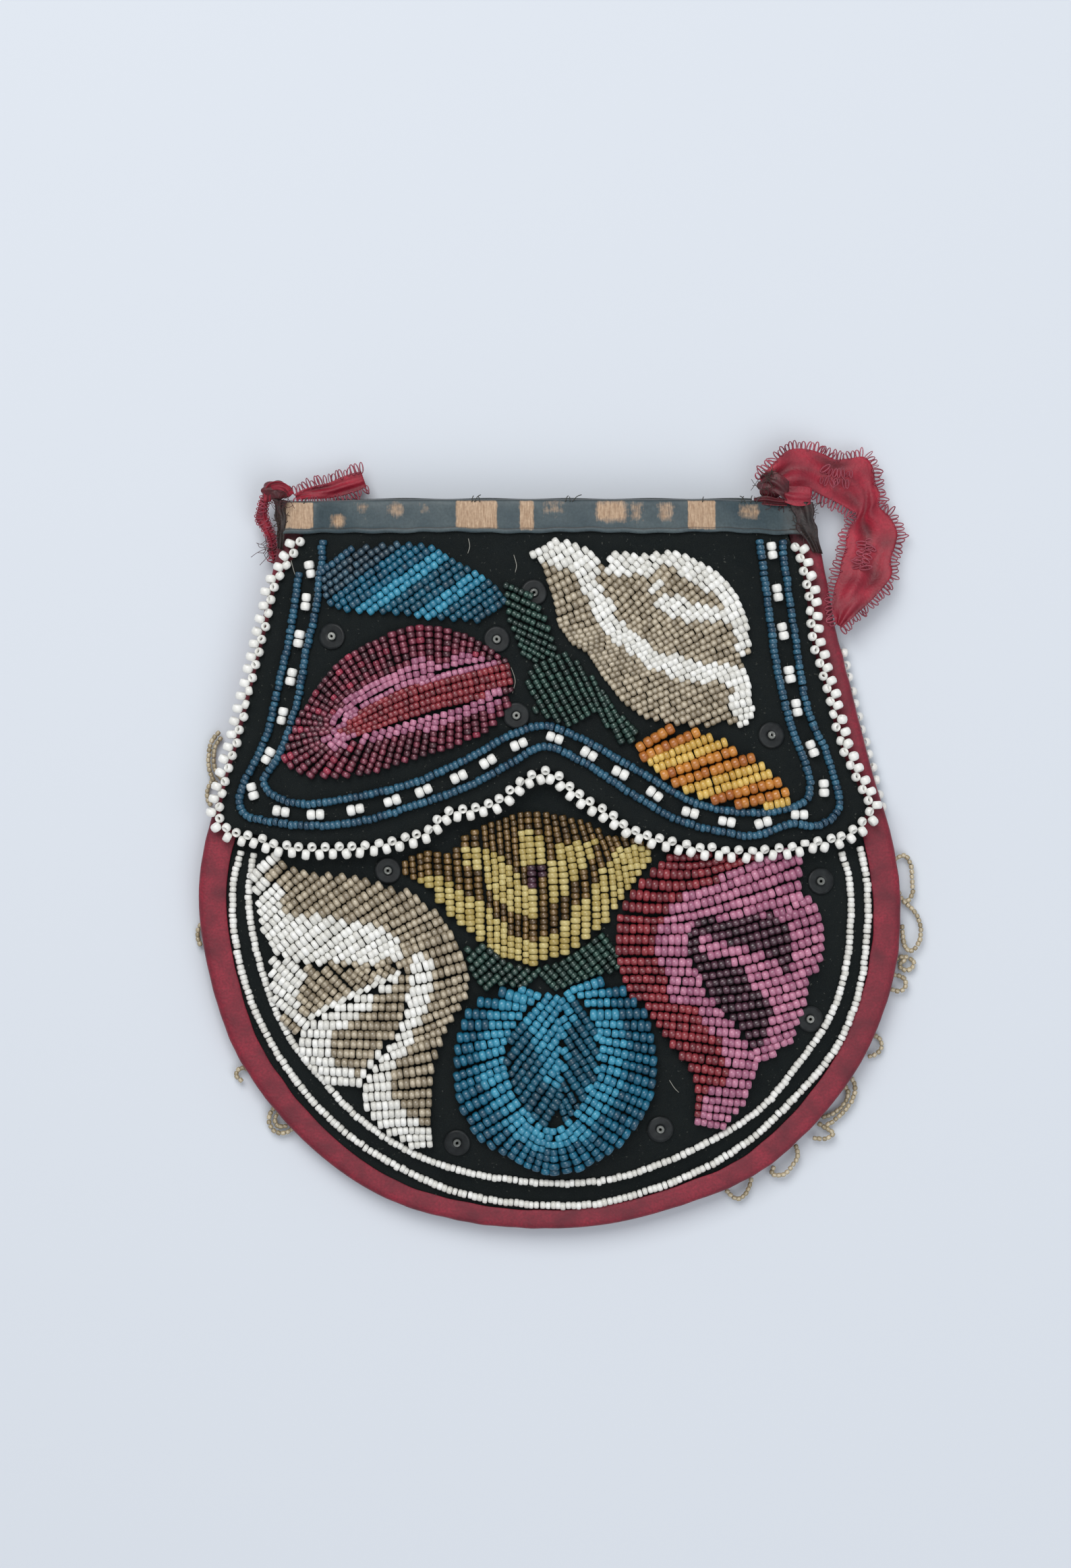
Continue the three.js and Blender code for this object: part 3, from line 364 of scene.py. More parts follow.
def node(tree, kind, inputs=None, **settings):
    """A node with its settings. Each input is given a plain value or another node's output."""
    made = tree.nodes.new(kind)
    for key, value in settings.items():
        setattr(made, key, value)
    for key, value in (inputs or {}).items():
        if isinstance(value, bpy.types.NodeSocket):
            tree.links.new(value, made.inputs[key])
        else:
            made.inputs[key].default_value = value
    return made


def math_node(tree, operation, a, b=0.0):
    return node(tree, "ShaderNodeMath", {0: a, 1: b}, operation=operation).outputs[0]


def mix_colour(tree, share, a, b):
    """Colour a where the share is 0, and colour b where it is 1."""
    return node(tree, "ShaderNodeMix", {0: share, 6: a, 7: b}, data_type="RGBA").outputs[2]


def carried(tree, label):
    """A number that the mesh carries for its finish."""
    return node(tree, "ShaderNodeAttribute", attribute_name=label).outputs["Fac"]


def noise(tree, place, scale, detail):
    return node(tree, "ShaderNodeTexNoise", {"Vector": place, "Scale": scale, "Detail": detail}).outputs[0]


def object_place(tree):
    return node(tree, "ShaderNodeTexCoord").outputs["Object"]


def ramp(tree, value, start, end):
    """A value stretched so that start becomes 0 and end becomes 1."""
    made = node(tree, "ShaderNodeMapRange", {"Value": value, "From Min": start, "From Max": end})
    made.clamp = True
    return made.outputs[0]


def effect(name, inputs, outputs):
    """An empty shader node group with its sockets."""
    tree = bpy.data.node_groups.new(name, "ShaderNodeTree")
    for label, value in inputs.items():
        tree.interface.new_socket(label, in_out="INPUT", socket_type="NodeSocketFloat").default_value = value
    for label in outputs:
        tree.interface.new_socket(label, in_out="OUTPUT", socket_type="NodeSocketFloat")
    return tree, tree.nodes.new("NodeGroupInput"), tree.nodes.new("NodeGroupOutput")


# %% Effects that several finishes share
def make_weave():
    """Crossing threads, as a height from 0 to 1. Pitch is in millimetres."""
    tree, given, out = effect("Weave", {"Pitch": 0.3, "Uneven": 0.15}, ("Height",))
    place = object_place(tree)
    wobble = noise(tree, place, 900.0, 1.0)
    split = node(tree, "ShaderNodeSeparateXYZ", {"Vector": place})
    shift = math_node(tree, "MULTIPLY", wobble, given.outputs["Uneven"])
    waves = []
    for axis in ("X", "Y"):
        pitch = math_node(tree, "MULTIPLY", given.outputs["Pitch"], MM)
        turns = math_node(tree, "DIVIDE", split.outputs[axis], pitch)
        angle = math_node(tree, "MULTIPLY", math_node(tree, "ADD", turns, shift), 2 * math.pi)
        waves.append(math_node(tree, "SINE", angle))
    both = math_node(tree, "MULTIPLY", waves[0], waves[1])
    tree.links.new(math_node(tree, "MULTIPLY_ADD", both, 0.5), out.inputs["Height"])
    return tree


def make_stain():
    """Slow changes over centimetres, and a finer grain, both from 0 to 1."""
    tree, given, out = effect("Stain", {"Size": 12.0, "Grain": 0.4}, ("Slow", "Fine"))
    place = object_place(tree)
    for label, size, detail in (("Slow", "Size", 4.0), ("Fine", "Grain", 3.0)):
        scale = math_node(tree, "DIVIDE", 1 / MM, given.outputs[size])
        tree.links.new(ramp(tree, noise(tree, place, scale, detail), 0.3, 0.7), out.inputs[label])
    return tree


WEAVE = make_weave()
STAIN = make_stain()


def use(tree, group, **values):
    made = node(tree, "ShaderNodeGroup", node_tree=group)
    for label, value in values.items():
        made.inputs[label].default_value = value
    return made


def start_finish(name, **plain):
    """A material with a Principled shader and its plain values."""
    finish = bpy.data.materials.new(name)
    finish.use_nodes = True
    shader = finish.node_tree.nodes["Principled BSDF"]
    for label, value in plain.items():
        shader.inputs[label.replace("_", " ")].default_value = value
    return finish, finish.node_tree, shader


def bump(tree, shader, height, strength, depth_mm):
    made = node(tree, "ShaderNodeBump", {"Height": height, "Strength": strength, "Distance": depth_mm * MM})
    tree.links.new(made.outputs[0], shader.inputs["Normal"])


# %% [markdown]
# Velvet is short pile that stands up, so it is nearly black seen straight on and catches a little light at a
# grazing angle. That is what the sheen of the Principled shader does. Old velvet is also rubbed and dusty in
# patches.

# %% Velvet
def make_velvet():
    finish, tree, shader = start_finish(
        "Black velvet", Roughness=0.95, Sheen_Weight=0.25, Sheen_Roughness=0.35,
        Sheen_Tint=linear(120, 140, 140), Specular_IOR_Level=0.15)
    stain = use(tree, STAIN, Size=9.0, Grain=0.35)
    pile = use(tree, STAIN, Size=1.6, Grain=0.16)
    cloth = mix_colour(tree, stain.outputs["Slow"], linear(13, 19, 21), linear(24, 29, 30))
    fuzz = mix_colour(tree, pile.outputs["Fine"], linear(8, 12, 14), linear(42, 48, 48))
    colour = mix_colour(tree, 0.38, cloth, fuzz)
    rubbed = math_node(tree, "MULTIPLY", pile.outputs["Slow"], 0.3)
    colour = mix_colour(tree, rubbed, colour, linear(32, 35, 33))
    lint = ramp(tree, noise(tree, object_place(tree), 1400.0, 2.0), 0.68, 0.76)
    colour = mix_colour(tree, math_node(tree, "MULTIPLY", lint, 0.5), colour, linear(96, 98, 92))
    tree.links.new(colour, shader.inputs["Base Color"])
    bump(tree, shader, pile.outputs["Fine"], 0.5, 0.25)
    return finish


# %% [markdown]
# The ribbons are silk. Their threads run across, so the gloss is broken into fine ribs. Where a ribbon is
# folded, painted shade darkens it, and near the corners real staining does.

# %% Silk ribbons and plain linings
def make_silk(name, colour, dark, pitch=0.22, gloss=0.45, streak=0.5, rib=0.35):
    """Silk darkened to dark brown where a piece has an attribute for it: staining, and painted shade in
    folds.
    """
    finish, tree, shader = start_finish(name, Roughness=gloss, Sheen_Weight=0.2, Sheen_Roughness=0.3)
    stain = use(tree, STAIN, Size=5.0, Grain=0.5)
    weave = use(tree, WEAVE, Pitch=pitch, Uneven=0.3)
    silk = mix_colour(tree, stain.outputs["Slow"], colour, dark)
    share = math_node(tree, "MULTIPLY", stain.outputs["Fine"], streak)
    silk = mix_colour(tree, share, silk, dark)
    # Painted shade in folds, and real staining, darken the silk toward dark brown.
    silk = mix_colour(tree, carried(tree, "soil_and_shade"), silk, linear(50, 20, 26))
    tree.links.new(silk, shader.inputs["Base Color"])
    ribs = math_node(tree, "MULTIPLY", weave.outputs["Height"], rib)
    bump(tree, shader, math_node(tree, "ADD", ribs, stain.outputs["Fine"]), 0.4, 0.12)
    return finish


def make_worn_silk():
    """The mouth's ribbon. Its attribute says where the silk is gone and the tan cloth under it shows."""
    finish, tree, shader = start_finish(
        "Worn slate silk", Roughness=0.5, Sheen_Weight=0.3, Sheen_Roughness=0.35)
    place = object_place(tree)
    stretched = node(tree, "ShaderNodeMapping", {"Vector": place, "Scale": (1, 0.12, 1)})
    threads = noise(tree, stretched.outputs[0], 4200.0, 2.0)
    blotch = noise(tree, place, 900.0, 3.0)
    both = math_node(tree, "ADD", math_node(tree, "MULTIPLY", threads, 0.35),
                     math_node(tree, "MULTIPLY", blotch, 0.75))
    bare = ramp(tree, math_node(tree, "ADD", carried(tree, "worn"), both), 0.74, 1.3)
    stain = use(tree, STAIN, Size=6.0, Grain=0.5)
    silk = mix_colour(tree, stain.outputs["Slow"], linear(50, 68, 76), linear(76, 90, 94))
    silk = mix_colour(tree, math_node(tree, "MULTIPLY", stain.outputs["Fine"], 0.4), silk, linear(34, 46, 50))
    tan = mix_colour(tree, ramp(tree, threads, 0.25, 0.75), linear(152, 120, 92), linear(206, 178, 148))
    tan = mix_colour(tree, math_node(tree, "MULTIPLY", stain.outputs["Fine"], 0.35), tan, linear(120, 92, 68))
    # Real staining at the corners and in the stitches, and painted shade along the top fold, darken the
    # cloth.
    cloth = mix_colour(tree, carried(tree, "soil_and_shade"), mix_colour(tree, bare, silk, tan), linear(46, 38, 33))
    tree.links.new(cloth, shader.inputs["Base Color"])
    ridges = math_node(tree, "SUBTRACT", math_node(tree, "MULTIPLY", threads, 0.3), bare)
    bump(tree, shader, ridges, 0.5, 0.15)
    return finish


def make_lining():
    finish, tree, shader = start_finish("Tan cotton lining", Roughness=0.9)
    weave = use(tree, WEAVE, Pitch=0.45, Uneven=0.25)
    stain = use(tree, STAIN, Size=7.0, Grain=0.5)
    cloth = mix_colour(tree, weave.outputs["Height"], linear(140, 114, 84), linear(188, 160, 124))
    aged = math_node(tree, "MULTIPLY", stain.outputs["Slow"], 0.4)
    cloth = mix_colour(tree, aged, cloth, linear(120, 96, 70))
    tree.links.new(cloth, shader.inputs["Base Color"])
    bump(tree, shader, weave.outputs["Height"], 0.5, 0.15)
    return finish


VELVET_BLACK = make_velvet()
RED_SILK = make_silk("Red binding silk", linear(152, 32, 54), linear(98, 18, 36), gloss=0.6, streak=0.7)
LOOP_SILK = make_silk("Bright red silk", linear(180, 38, 60), linear(122, 20, 40), gloss=0.5)
PICOT_THREAD = make_silk("Picot thread", linear(186, 86, 104), linear(118, 32, 52), gloss=0.5)
KNOT_SILK = make_silk("Crushed red silk", linear(122, 28, 42), linear(48, 18, 22))
ROTTED_SILK = make_silk("Rotted silk", linear(62, 42, 36), linear(26, 20, 20), streak=0.9)
SLATE_SILK = make_worn_silk()
DARK_SILK = make_silk("Dark green silk", linear(46, 58, 58), linear(28, 34, 33))
COTTON = make_lining()
print("cloth finishes", len(bpy.data.materials))

# %% [markdown]
# Old seed beads of one colour are never alike. Each bead carries a number of its own, its tint, and the
# finish turns it into a slightly darker or lighter glass. Dark glass gets a stronger gloss than chalky white.
# In clear glass the top of each bead, which the bead's own "crown" number marks, is painted lighter: a
# painted highlight along the row, with the thread seen through the glass.

# %% Bead glass
BEAD_COLOURS = {
    "white": (linear(246, 246, 242), linear(214, 213, 206), 0.32),
    "line_blue": (linear(44, 98, 124), linear(18, 60, 84), 0.3),
    "mid_blue": (linear(10, 102, 132), linear(3, 66, 90), 0.3),
    "light_blue": (linear(60, 152, 182), linear(30, 116, 146), 0.32),
    "navy": (linear(36, 68, 86), linear(18, 40, 54), 0.3),
    "inner_blue": (linear(10, 90, 116), linear(3, 58, 78), 0.3),
    "maroon": (linear(104, 34, 54), linear(48, 16, 28), 0.25),
    "bright_red": (linear(160, 50, 76), linear(116, 34, 56), 0.25),
    "red_brown": (linear(148, 50, 60), linear(104, 30, 42), 0.28),
    "pink": (linear(196, 128, 156), linear(146, 82, 112), 0.32),
    "purple": (linear(76, 40, 58), linear(42, 22, 34), 0.24),
    "clear_tan": (linear(174, 162, 140), linear(124, 112, 92), 0.22),
    "orange": (linear(202, 134, 52), linear(162, 90, 28), 0.25),
    "yellow": (linear(224, 190, 102), linear(190, 148, 60), 0.3),
    "pale_yellow": (linear(204, 188, 126), linear(168, 148, 82), 0.3),
    "brown_gold": (linear(108, 82, 38), linear(60, 42, 16), 0.18),
    "green": (linear(28, 60, 53), linear(13, 34, 32), 0.2),
    "loop_tan": (linear(190, 176, 146), linear(146, 132, 102), 0.2),
    "smoke": (linear(172, 174, 168), linear(96, 100, 98), 0.15)}

HIGHLIGHT_AND_THREAD_TOPS = {
    "brown_gold": linear(176, 146, 108), "clear_tan": linear(206, 194, 172), "green": linear(70, 106, 94),
    "maroon": linear(166, 84, 106), "purple": linear(104, 66, 84), "loop_tan": linear(216, 206, 182),
    "navy": linear(60, 104, 124)}


def make_glass(name, light, dark, gloss):
    finish, tree, shader = start_finish(
        f"Glass beads {name}", Roughness=gloss, Coat_Weight=0.35, Coat_Roughness=0.12, Subsurface_Weight=0.3,
        Subsurface_Scale=0.0006, Subsurface_Radius=(1, 1, 1))
    tint = carried(tree, "tint")
    glass = mix_colour(tree, tint, dark, light)
    if name in HIGHLIGHT_AND_THREAD_TOPS:
        # Painted highlight along the top of each bead, with the thread seen through the glass.
        top = ramp(tree, carried(tree, "crown"), 0.76, 1.0)
        seen = math_node(tree, "MULTIPLY", top, math_node(tree, "ADD", tint, 0.35))
        glass = mix_colour(tree, math_node(tree, "MULTIPLY", seen, 0.6), glass, HIGHLIGHT_AND_THREAD_TOPS[name])
    dust = math_node(tree, "MULTIPLY", use(tree, STAIN, Size=3.0, Grain=0.3).outputs["Fine"], 0.07)
    tree.links.new(mix_colour(tree, dust, glass, linear(120, 110, 95)), shader.inputs["Base Color"])
    return finish


GLASS = {name: make_glass(name, *values) for name, values in BEAD_COLOURS.items()}
print("bead finishes", len(GLASS))

# %% [markdown]
# ## Cloth
# The two panels and the two flaps are cut sheets. The front ones follow the mound and the back ones lie flat.
# Real velvet has a thickness of its own, so each sheet is a closed shell and not a single skin.

# %% Outlines of the sheets
def panel_outline(inset, mouth_inset):
    line = beside(seam, inset)
    top = MOUTH_Y - mouth_inset
    kept = line[line[:, 1] < top - 0.5]
    return np.vstack([[(kept[0][0], top)], kept, [(kept[-1][0], top)]])


def flap_outline(inset, mouth_inset):
    line = beside(flap_edge, inset)
    top = MOUTH_Y - mouth_inset
    return np.vstack([[(line[0][0], top)], line, [(line[-1][0], top)]])


def mirrored(outline):
    return (outline * (-1, 1) + (BACK_ASIDE, 0))[::-1]


CLOTH_INSET = EDGE_BEADS / 2 + CLEAR

# %% Velvet and linings
SEAM_TURN = 0.8
FLAP_TURN = 0.9
NAP = 0.015
FRONT_GRID, BACK_GRID, LINING_GRID = 1.3, 2.0, 2.4
velvets = {
    "front_panel": (panel_outline(SEAM_TURN, 0.8), 0, FRONT_TOP, mound, FRONT_GRID, NAP),
    "front_flap": (flap_outline(FLAP_TURN, 0.8), FLAP_VELVET, FLAP_TOP, mound, FRONT_GRID, NAP),
    "back_panel": (panel_outline(SEAM_TURN, 0.1), BACK_PANEL, BACK_PANEL + VELVET, table, BACK_GRID, 0.0),
    "back_flap": (mirrored(flap_outline(FLAP_TURN, 0)), 0, VELVET, table, BACK_GRID, 0.0)}
linings = {
    "front_panel": (panel_outline(LINING_INSET, MOUTH_BINDING + CLEAR), -CLEAR - LINING, -CLEAR, mound),
    "front_flap": (flap_outline(CLOTH_INSET, 0.8), FLAP_LINING, FLAP_LINING + LINING, mound),
    "back_panel": (
        panel_outline(LINING_INSET, MOUTH_BINDING - 0.4), BACK_LINING, BACK_LINING + LINING, table),
    "back_flap": (mirrored(flap_outline(CLOTH_INSET, 0)), VELVET + CLEAR, VELVET + CLEAR + LINING, table)}


for name, (outline, low_at, high_at, base, grid, rough) in velvets.items():
    piece = cut_sheet(f"velvet_{name}", outline, low_at, high_at, VELVET_BLACK, base, grid, rough)
    dress(piece, "velvet", f"{name}_velvet")
for name, (outline, low_at, high_at, base) in linings.items():
    piece = cut_sheet(f"cotton_{name}", outline, low_at, high_at, COTTON, base, LINING_GRID)
    dress(piece, "lining", f"{name}_lining")
print("sheets", len(velvets) + len(linings))

# %% [markdown]
# ## Bindings
# A red ribbon is folded over the seam all round. It is a strip with a C-shaped section that follows the seam.
# It was eased round the curves, so it puckers: small folds run across it, and its inner edge wanders.

# %% Red ribbon folded over the seam
BINDING_SIDE = 5.9
BINDING_FOOT = 3.9


def pucker(along, across, scale=1.0):
    """Small folds across a gathered ribbon, from -1 to 1."""
    waves = np.sin(along / (1.7 * scale) + 1.3 * np.sin(along / 5.1))
    waves = waves + 0.7 * np.sin(along / (0.83 * scale) + across)
    return waves * (0.5 + 0.5 * np.sin(along / 9.7 + 2)) / 1.7


RIM_STEP = 0.7
rim = even(seam, RIM_STEP)
rim = rim[rim[:, 1] < MOUTH_Y - SEAM_TURN]
along_rim = np.arange(len(rim)) * RIM_STEP
foot = np.sin(math.pi * np.linspace(0, 1, len(rim))) ** 6
cover = BINDING_SIDE + (BINDING_FOOT - BINDING_SIDE) * foot + 0.16 * pucker(along_rim, 0.4, 1.6)
C_SECTION = [
    (1.0, 4.72), (0.97, 4.86), (0.8, 4.92), (0.6, 4.96), (0.42, 5.0), (0.25, 4.97), (0.12, 4.8), (0.04, 4.45),
    (0.0, 3.9), (-0.01, 3.25), (0.0, 2.6), (0.04, 2.05), (0.12, 1.74), (0.3, 1.62), (0.98, 1.6), (1.0, 1.8),
    (0.98, 2.02), (0.3, 2.04), (0.18, 2.2), (0.12, 3.25), (0.18, 4.3), (0.3, 4.44), (0.98, 4.44)]
rows = []
for share, z in C_SECTION:
    inset = share * cover
    line = beside(rim, inset + (0.1 * pucker(along_rim, 1.0) if share < 0.2 else 0))
    height = z + (0.09 * pucker(along_rim, share * 3) * math.sin(math.pi * max(share, 0.1)) if z > 4.6 else 0)
    rows.append(np.column_stack([line, np.broadcast_to(height, len(line))]))
binding = loft("ribbon_edge_binding", np.stack(rows, axis=1)[:, ::-1], RED_SILK)


def set_field(piece, label, values):
    """A number at each place of a mesh, for its finish to read."""
    field = piece.data.attributes.new(label, "FLOAT", "POINT")
    field.data.foreach_set("value", np.clip(np.ravel(values), 0, 1))


places = np.stack(rows, axis=1)[:, ::-1].reshape(-1, 3)
torn = np.clip((places[:, 1] - np.where(places[:, 0] > 0, 62, 61)) / 6, 0, 0.9)
set_field(binding, "soil_and_shade", torn * (0.75 + 0.25 * np.sin(places[:, 0] * 3 + places[:, 1] * 2)))
dress(binding, "red_binding", "edge_binding")

# %% [markdown]
# The mouth's ribbon is older silk, folded over the edge and worn through to the cloth under it. The wear sits
# in patches. Each patch gives its left and right end and how far up the ribbon it reaches, and the mesh
# carries the wear to the finish as an attribute, which the finish then frays.

# %% Slate ribbon over the front of the mouth
WORN_PX = [
    (417, 464, 0.16, 0.95, 1.0), (492, 512, 0.2, 0.55, 0.85), (530, 547, 0.6, 0.9, 0.42),
    (578, 599, 0.48, 0.88, 0.6), (622, 640, 0.55, 0.85, 0.3), (677, 737, 0.12, 0.95, 1.0),
    (771, 791, 0.1, 0.95, 1.0), (806, 836, 0.55, 0.95, 0.4), (884, 927, 0.35, 0.95, 0.85),
    (932, 953, 0.35, 0.95, 0.45), (975, 997, 0.35, 0.9, 0.6), (1019, 1059, 0.1, 0.95, 1.0),
    (1095, 1126, 0.45, 0.85, 0.62)]
MOUTH_LEFT, MOUTH_RIGHT = -55.4, 53.6
xs = np.arange(MOUTH_LEFT, MOUTH_RIGHT, 0.35)
ends = np.minimum(xs - MOUTH_LEFT, MOUTH_RIGHT - xs)
room = np.clip((ends - 9.5) / 4, 0, 1)
STITCHED = 0.13
RIBBON_FACE = 3.7
OVER, INNER, UNDER = 0, 1, 2
SECTION = [
    (0.0, 3.45, OVER), (0.0, 3.8, OVER), (0.05, 3.92, OVER), (0.1, 3.93, OVER), (STITCHED, 3.84, OVER),
    (0.16, 3.93, OVER), (0.22, 3.95, OVER), (0.35, 3.95, OVER), (0.5, 3.97, OVER), (0.65, 3.97, OVER),
    (0.8, 3.95, OVER), (0.92, 3.88, OVER), (0.98, 3.6, OVER), (1.0, 3.1, OVER), (1.01, 2.4, OVER),
    (1.0, 1.2, INNER), (1.0, 0.2, INNER), (0.98, -0.6, INNER), (0.9, -0.78, INNER), (0.05, -0.78, UNDER),
    (0.0, -0.55, UNDER), (0.05, -0.34, UNDER), (0.86, -0.34, INNER), (0.92, 0.2, INNER), (0.92, 2.6, OVER),
    (0.9, 3.2, OVER), (0.8, 3.45, OVER), (0.5, 3.46, OVER)]


def wear_at(share):
    """How worn the ribbon is along the mouth, at one height up its face."""
    worn = np.zeros(len(xs))
    for x0, x1, v0, v1, strength in WORN_PX:
        left, right = from_px(x0, 0)[0], from_px(x1, 0)[0]
        soft, blend = (0.35, 0.04) if strength > 0.9 else (1.5, 0.22)
        wide = np.clip((xs - left) / soft + 0.5, 0, 1) * np.clip((right - xs) / soft + 0.5, 0, 1)
        tall = np.clip((share - v0) / blend + 0.5, 0, 1) * np.clip((v1 - share) / blend + 0.5, 0, 1)
        worn = np.maximum(worn, wide * tall * strength)
    return worn


def soil_and_shade_at(share, part):
    """Real staining at the mouth's corners and in the row of stitches, and painted shade along the top fold.
    """
    smear = 0.6 + 0.4 * np.sin(xs * 2.1 + share * 5) * np.sin(xs * 0.9 + share * 9)
    corners = np.clip((xs - 47.5) / 4, 0, 0.9) + np.clip((-52.6 - xs) / 3, 0, 0.75)
    # The last term is painted shade along the top fold, where the ribbon turns over the edge.
    return corners * smear + (0.7 if share == STITCHED else 0) + 0.45 * (share > 0.95) * (part == OVER)


rows, wear, mouth_soil_and_shade = [], [], []
for share, z, part in SECTION:
    ripple = 0.12 * np.sin(xs / 3.1 + share * 2) + 0.1 * np.sin(xs / 1.3 + share * 5) + 0.14 * np.sin(xs / 9)
    edge = 0.15 * np.sin(xs / 4.3) + 0.1 * np.sin(xs / 1.1)
    deep = 0.9 - (0.9 - share) * room if part == UNDER else share
    y = MOUTH_Y - MOUTH_BINDING * (1 - deep) + edge * (1 - share) * (z > 3)
    z_here = np.full(len(xs), z) if part == OVER else np.where(room < 1, np.maximum(z, 1.1 - 1.9 * room), z)
    ground = mound(np.column_stack([xs, np.minimum(y, MOUTH_Y - CLEAR)]))
    on_face = z > RIBBON_FACE
    rows.append(np.column_stack([xs, y, ground + z_here + (ripple * 0.5 if on_face else 0)]))
    wear.append(wear_at(share) * on_face)
    mouth_soil_and_shade.append(soil_and_shade_at(share, part))
mouth = loft("ribbon_mouth_front", np.stack(rows, axis=1)[:, ::-1], SLATE_SILK)
for label, values in (("worn", wear), ("soil_and_shade", mouth_soil_and_shade)):
    set_field(mouth, label, np.stack(values, axis=1)[:, ::-1])
dress(mouth, "slate_ribbon", "mouth_binding_front")

# %% [markdown]
# The back's mouth has the same fold in a darker ribbon, which shows as a thin line past the front's. It lies
# flat, so a plain section drawn along a straight line is enough.

# %% Dark ribbon over the back of the mouth
BACK_SHORTER = 11.3
back_xs = np.arange(MOUTH_LEFT + BACK_SHORTER, MOUTH_RIGHT - BACK_SHORTER, RIM_STEP)
BACK_SECTION = [
    (0.0, 1.62), (0.0, 2.08), (0.9, 2.1), (0.94, 2.4), (0.94, 3.2), (0.9, 3.42), (0.0, 3.42), (0.0, 3.88),
    (0.92, 3.88), (0.98, 3.6), (1.02, 2.75), (0.98, 1.9), (0.92, 1.62)]
rows = [np.column_stack([
    back_xs, MOUTH_Y + 0.7 - MOUTH_BINDING * (1 - share) + 0.12 * np.sin(back_xs / 2.7) * (share > 0.9),
    np.full(len(back_xs), z)]) for share, z in BACK_SECTION]
behind = loft("ribbon_mouth_back", np.stack(rows, axis=1), DARK_SILK)
dress(behind, "dark_ribbon", "mouth_binding_back")
print("places along the seam", len(rim), "and along the mouth", len(xs))

# %% [markdown]
# ## Beads
# A seed bead is a short slice of glass tube, melted until its ends are round. Two shapes serve the whole bag.
# In the rows the hole can't be seen, so a closed barrel with few faces will do. Along the flap's edge the
# holes look up, so those beads are rings.

# %% Two bead shapes of length and width one
BEAD_RADIUS = 0.5


def bead_object(name, profile, sides):
    """A shape turned round the X axis, which is the hole's direction."""
    turn = np.linspace(0, 2 * math.pi, sides, endpoint=False)
    vertices = [(x, r * math.cos(a), r * math.sin(a)) for x, r in profile for a in turn]
    rings = len(profile)
    faces = wall(rings, sides)
    if profile[0] != profile[-1]:
        faces += [tuple(range(sides)), tuple((rings - 1) * sides + j for j in reversed(range(sides)))]
    mesh = smooth_mesh(name, vertices, [face[::-1] for face in faces])
    crown = [z / BEAD_RADIUS for _, _, z in vertices]
    mesh.attributes.new("crown", "FLOAT", "POINT").data.foreach_set("value", crown)
    return set_out(name, mesh)


BARREL_PROFILE = [(-0.5, 0.3), (-0.43, 0.43), (-0.2, 0.5), (0.2, 0.5), (0.43, 0.43), (0.5, 0.3)]
BARREL = bead_object("barrel", BARREL_PROFILE, 8)
GLASS_MIDDLE, GLASS_HALF = 0.33, 0.17
RING_SECTION = [(math.cos(a) * BEAD_RADIUS, GLASS_MIDDLE + math.sin(a) * GLASS_HALF)
                for a in np.linspace(0, 2 * math.pi, 9)[:-1]]
RING = bead_object("ring", RING_SECTION + RING_SECTION[:1], 12)
print("faces of a barrel", len(BARREL.data.polygons), "and of a ring", len(RING.data.polygons))

# %% [markdown]
# One Geometry Nodes tree strings every bead. It takes a cloud of places. Each place carries its turn, its
# size and its tint. The tree sets a bead there, tilts it a little at random as thread does, joins all to one
# mesh and gives it its finish. The tilt has a fixed seed, so each run gives the same bag.

# %% The tree that strings the beads
def make_bead_tree():
    tree = bpy.data.node_groups.new("String of beads", "GeometryNodeTree")
    sockets = (
        ("Places", "NodeSocketGeometry"), ("Bead", "NodeSocketObject"), ("Finish", "NodeSocketMaterial"),
        ("Tilt", "NodeSocketFloat"), ("Seed", "NodeSocketInt"))
    for label, kind in sockets:
        tree.interface.new_socket(label, in_out="INPUT", socket_type=kind)
    tree.interface.new_socket("Beads", in_out="OUTPUT", socket_type="NodeSocketGeometry")
    given, out = tree.nodes.new("NodeGroupInput"), tree.nodes.new("NodeGroupOutput")
    read = {}
    for label in ("turn", "size"):
        read[label] = node(tree, "GeometryNodeInputNamedAttribute", {"Name": label}, data_type="FLOAT_VECTOR")
    chance = node(tree, "FunctionNodeRandomValue", data_type="FLOAT_VECTOR")
    chance.inputs[0].default_value = (-1, -1, -1)
    chance.inputs[1].default_value = (1, 1, 1)
    tree.links.new(given.outputs["Seed"], chance.inputs["Seed"])
    tilt = node(tree, "ShaderNodeVectorMath", operation="SCALE")
    tree.links.new(chance.outputs[0], tilt.inputs[0])
    tree.links.new(given.outputs["Tilt"], tilt.inputs["Scale"])
    turned = node(tree, "ShaderNodeVectorMath", operation="ADD")
    tree.links.new(read["turn"].outputs[0], turned.inputs[0])
    tree.links.new(tilt.outputs[0], turned.inputs[1])
    rotation = node(tree, "FunctionNodeEulerToRotation", {0: turned.outputs[0]})
    shape = node(tree, "GeometryNodeObjectInfo", {"Object": given.outputs["Bead"]})
    strung = node(tree, "GeometryNodeInstanceOnPoints", {
        "Points": given.outputs["Places"], "Instance": shape.outputs["Geometry"],
        "Rotation": rotation.outputs[0], "Scale": read["size"].outputs[0]})
    real = node(tree, "GeometryNodeRealizeInstances", {"Geometry": strung.outputs[0]})
    coated = node(tree, "GeometryNodeSetMaterial", {
        "Geometry": real.outputs[0], "Material": given.outputs["Finish"]})
    tree.links.new(coated.outputs[0], out.inputs[0])
    return tree


BEAD_TREE = make_bead_tree()
SOCKET = {item.name: item.identifier for item in BEAD_TREE.interface.items_tree if item.in_out == "INPUT"}


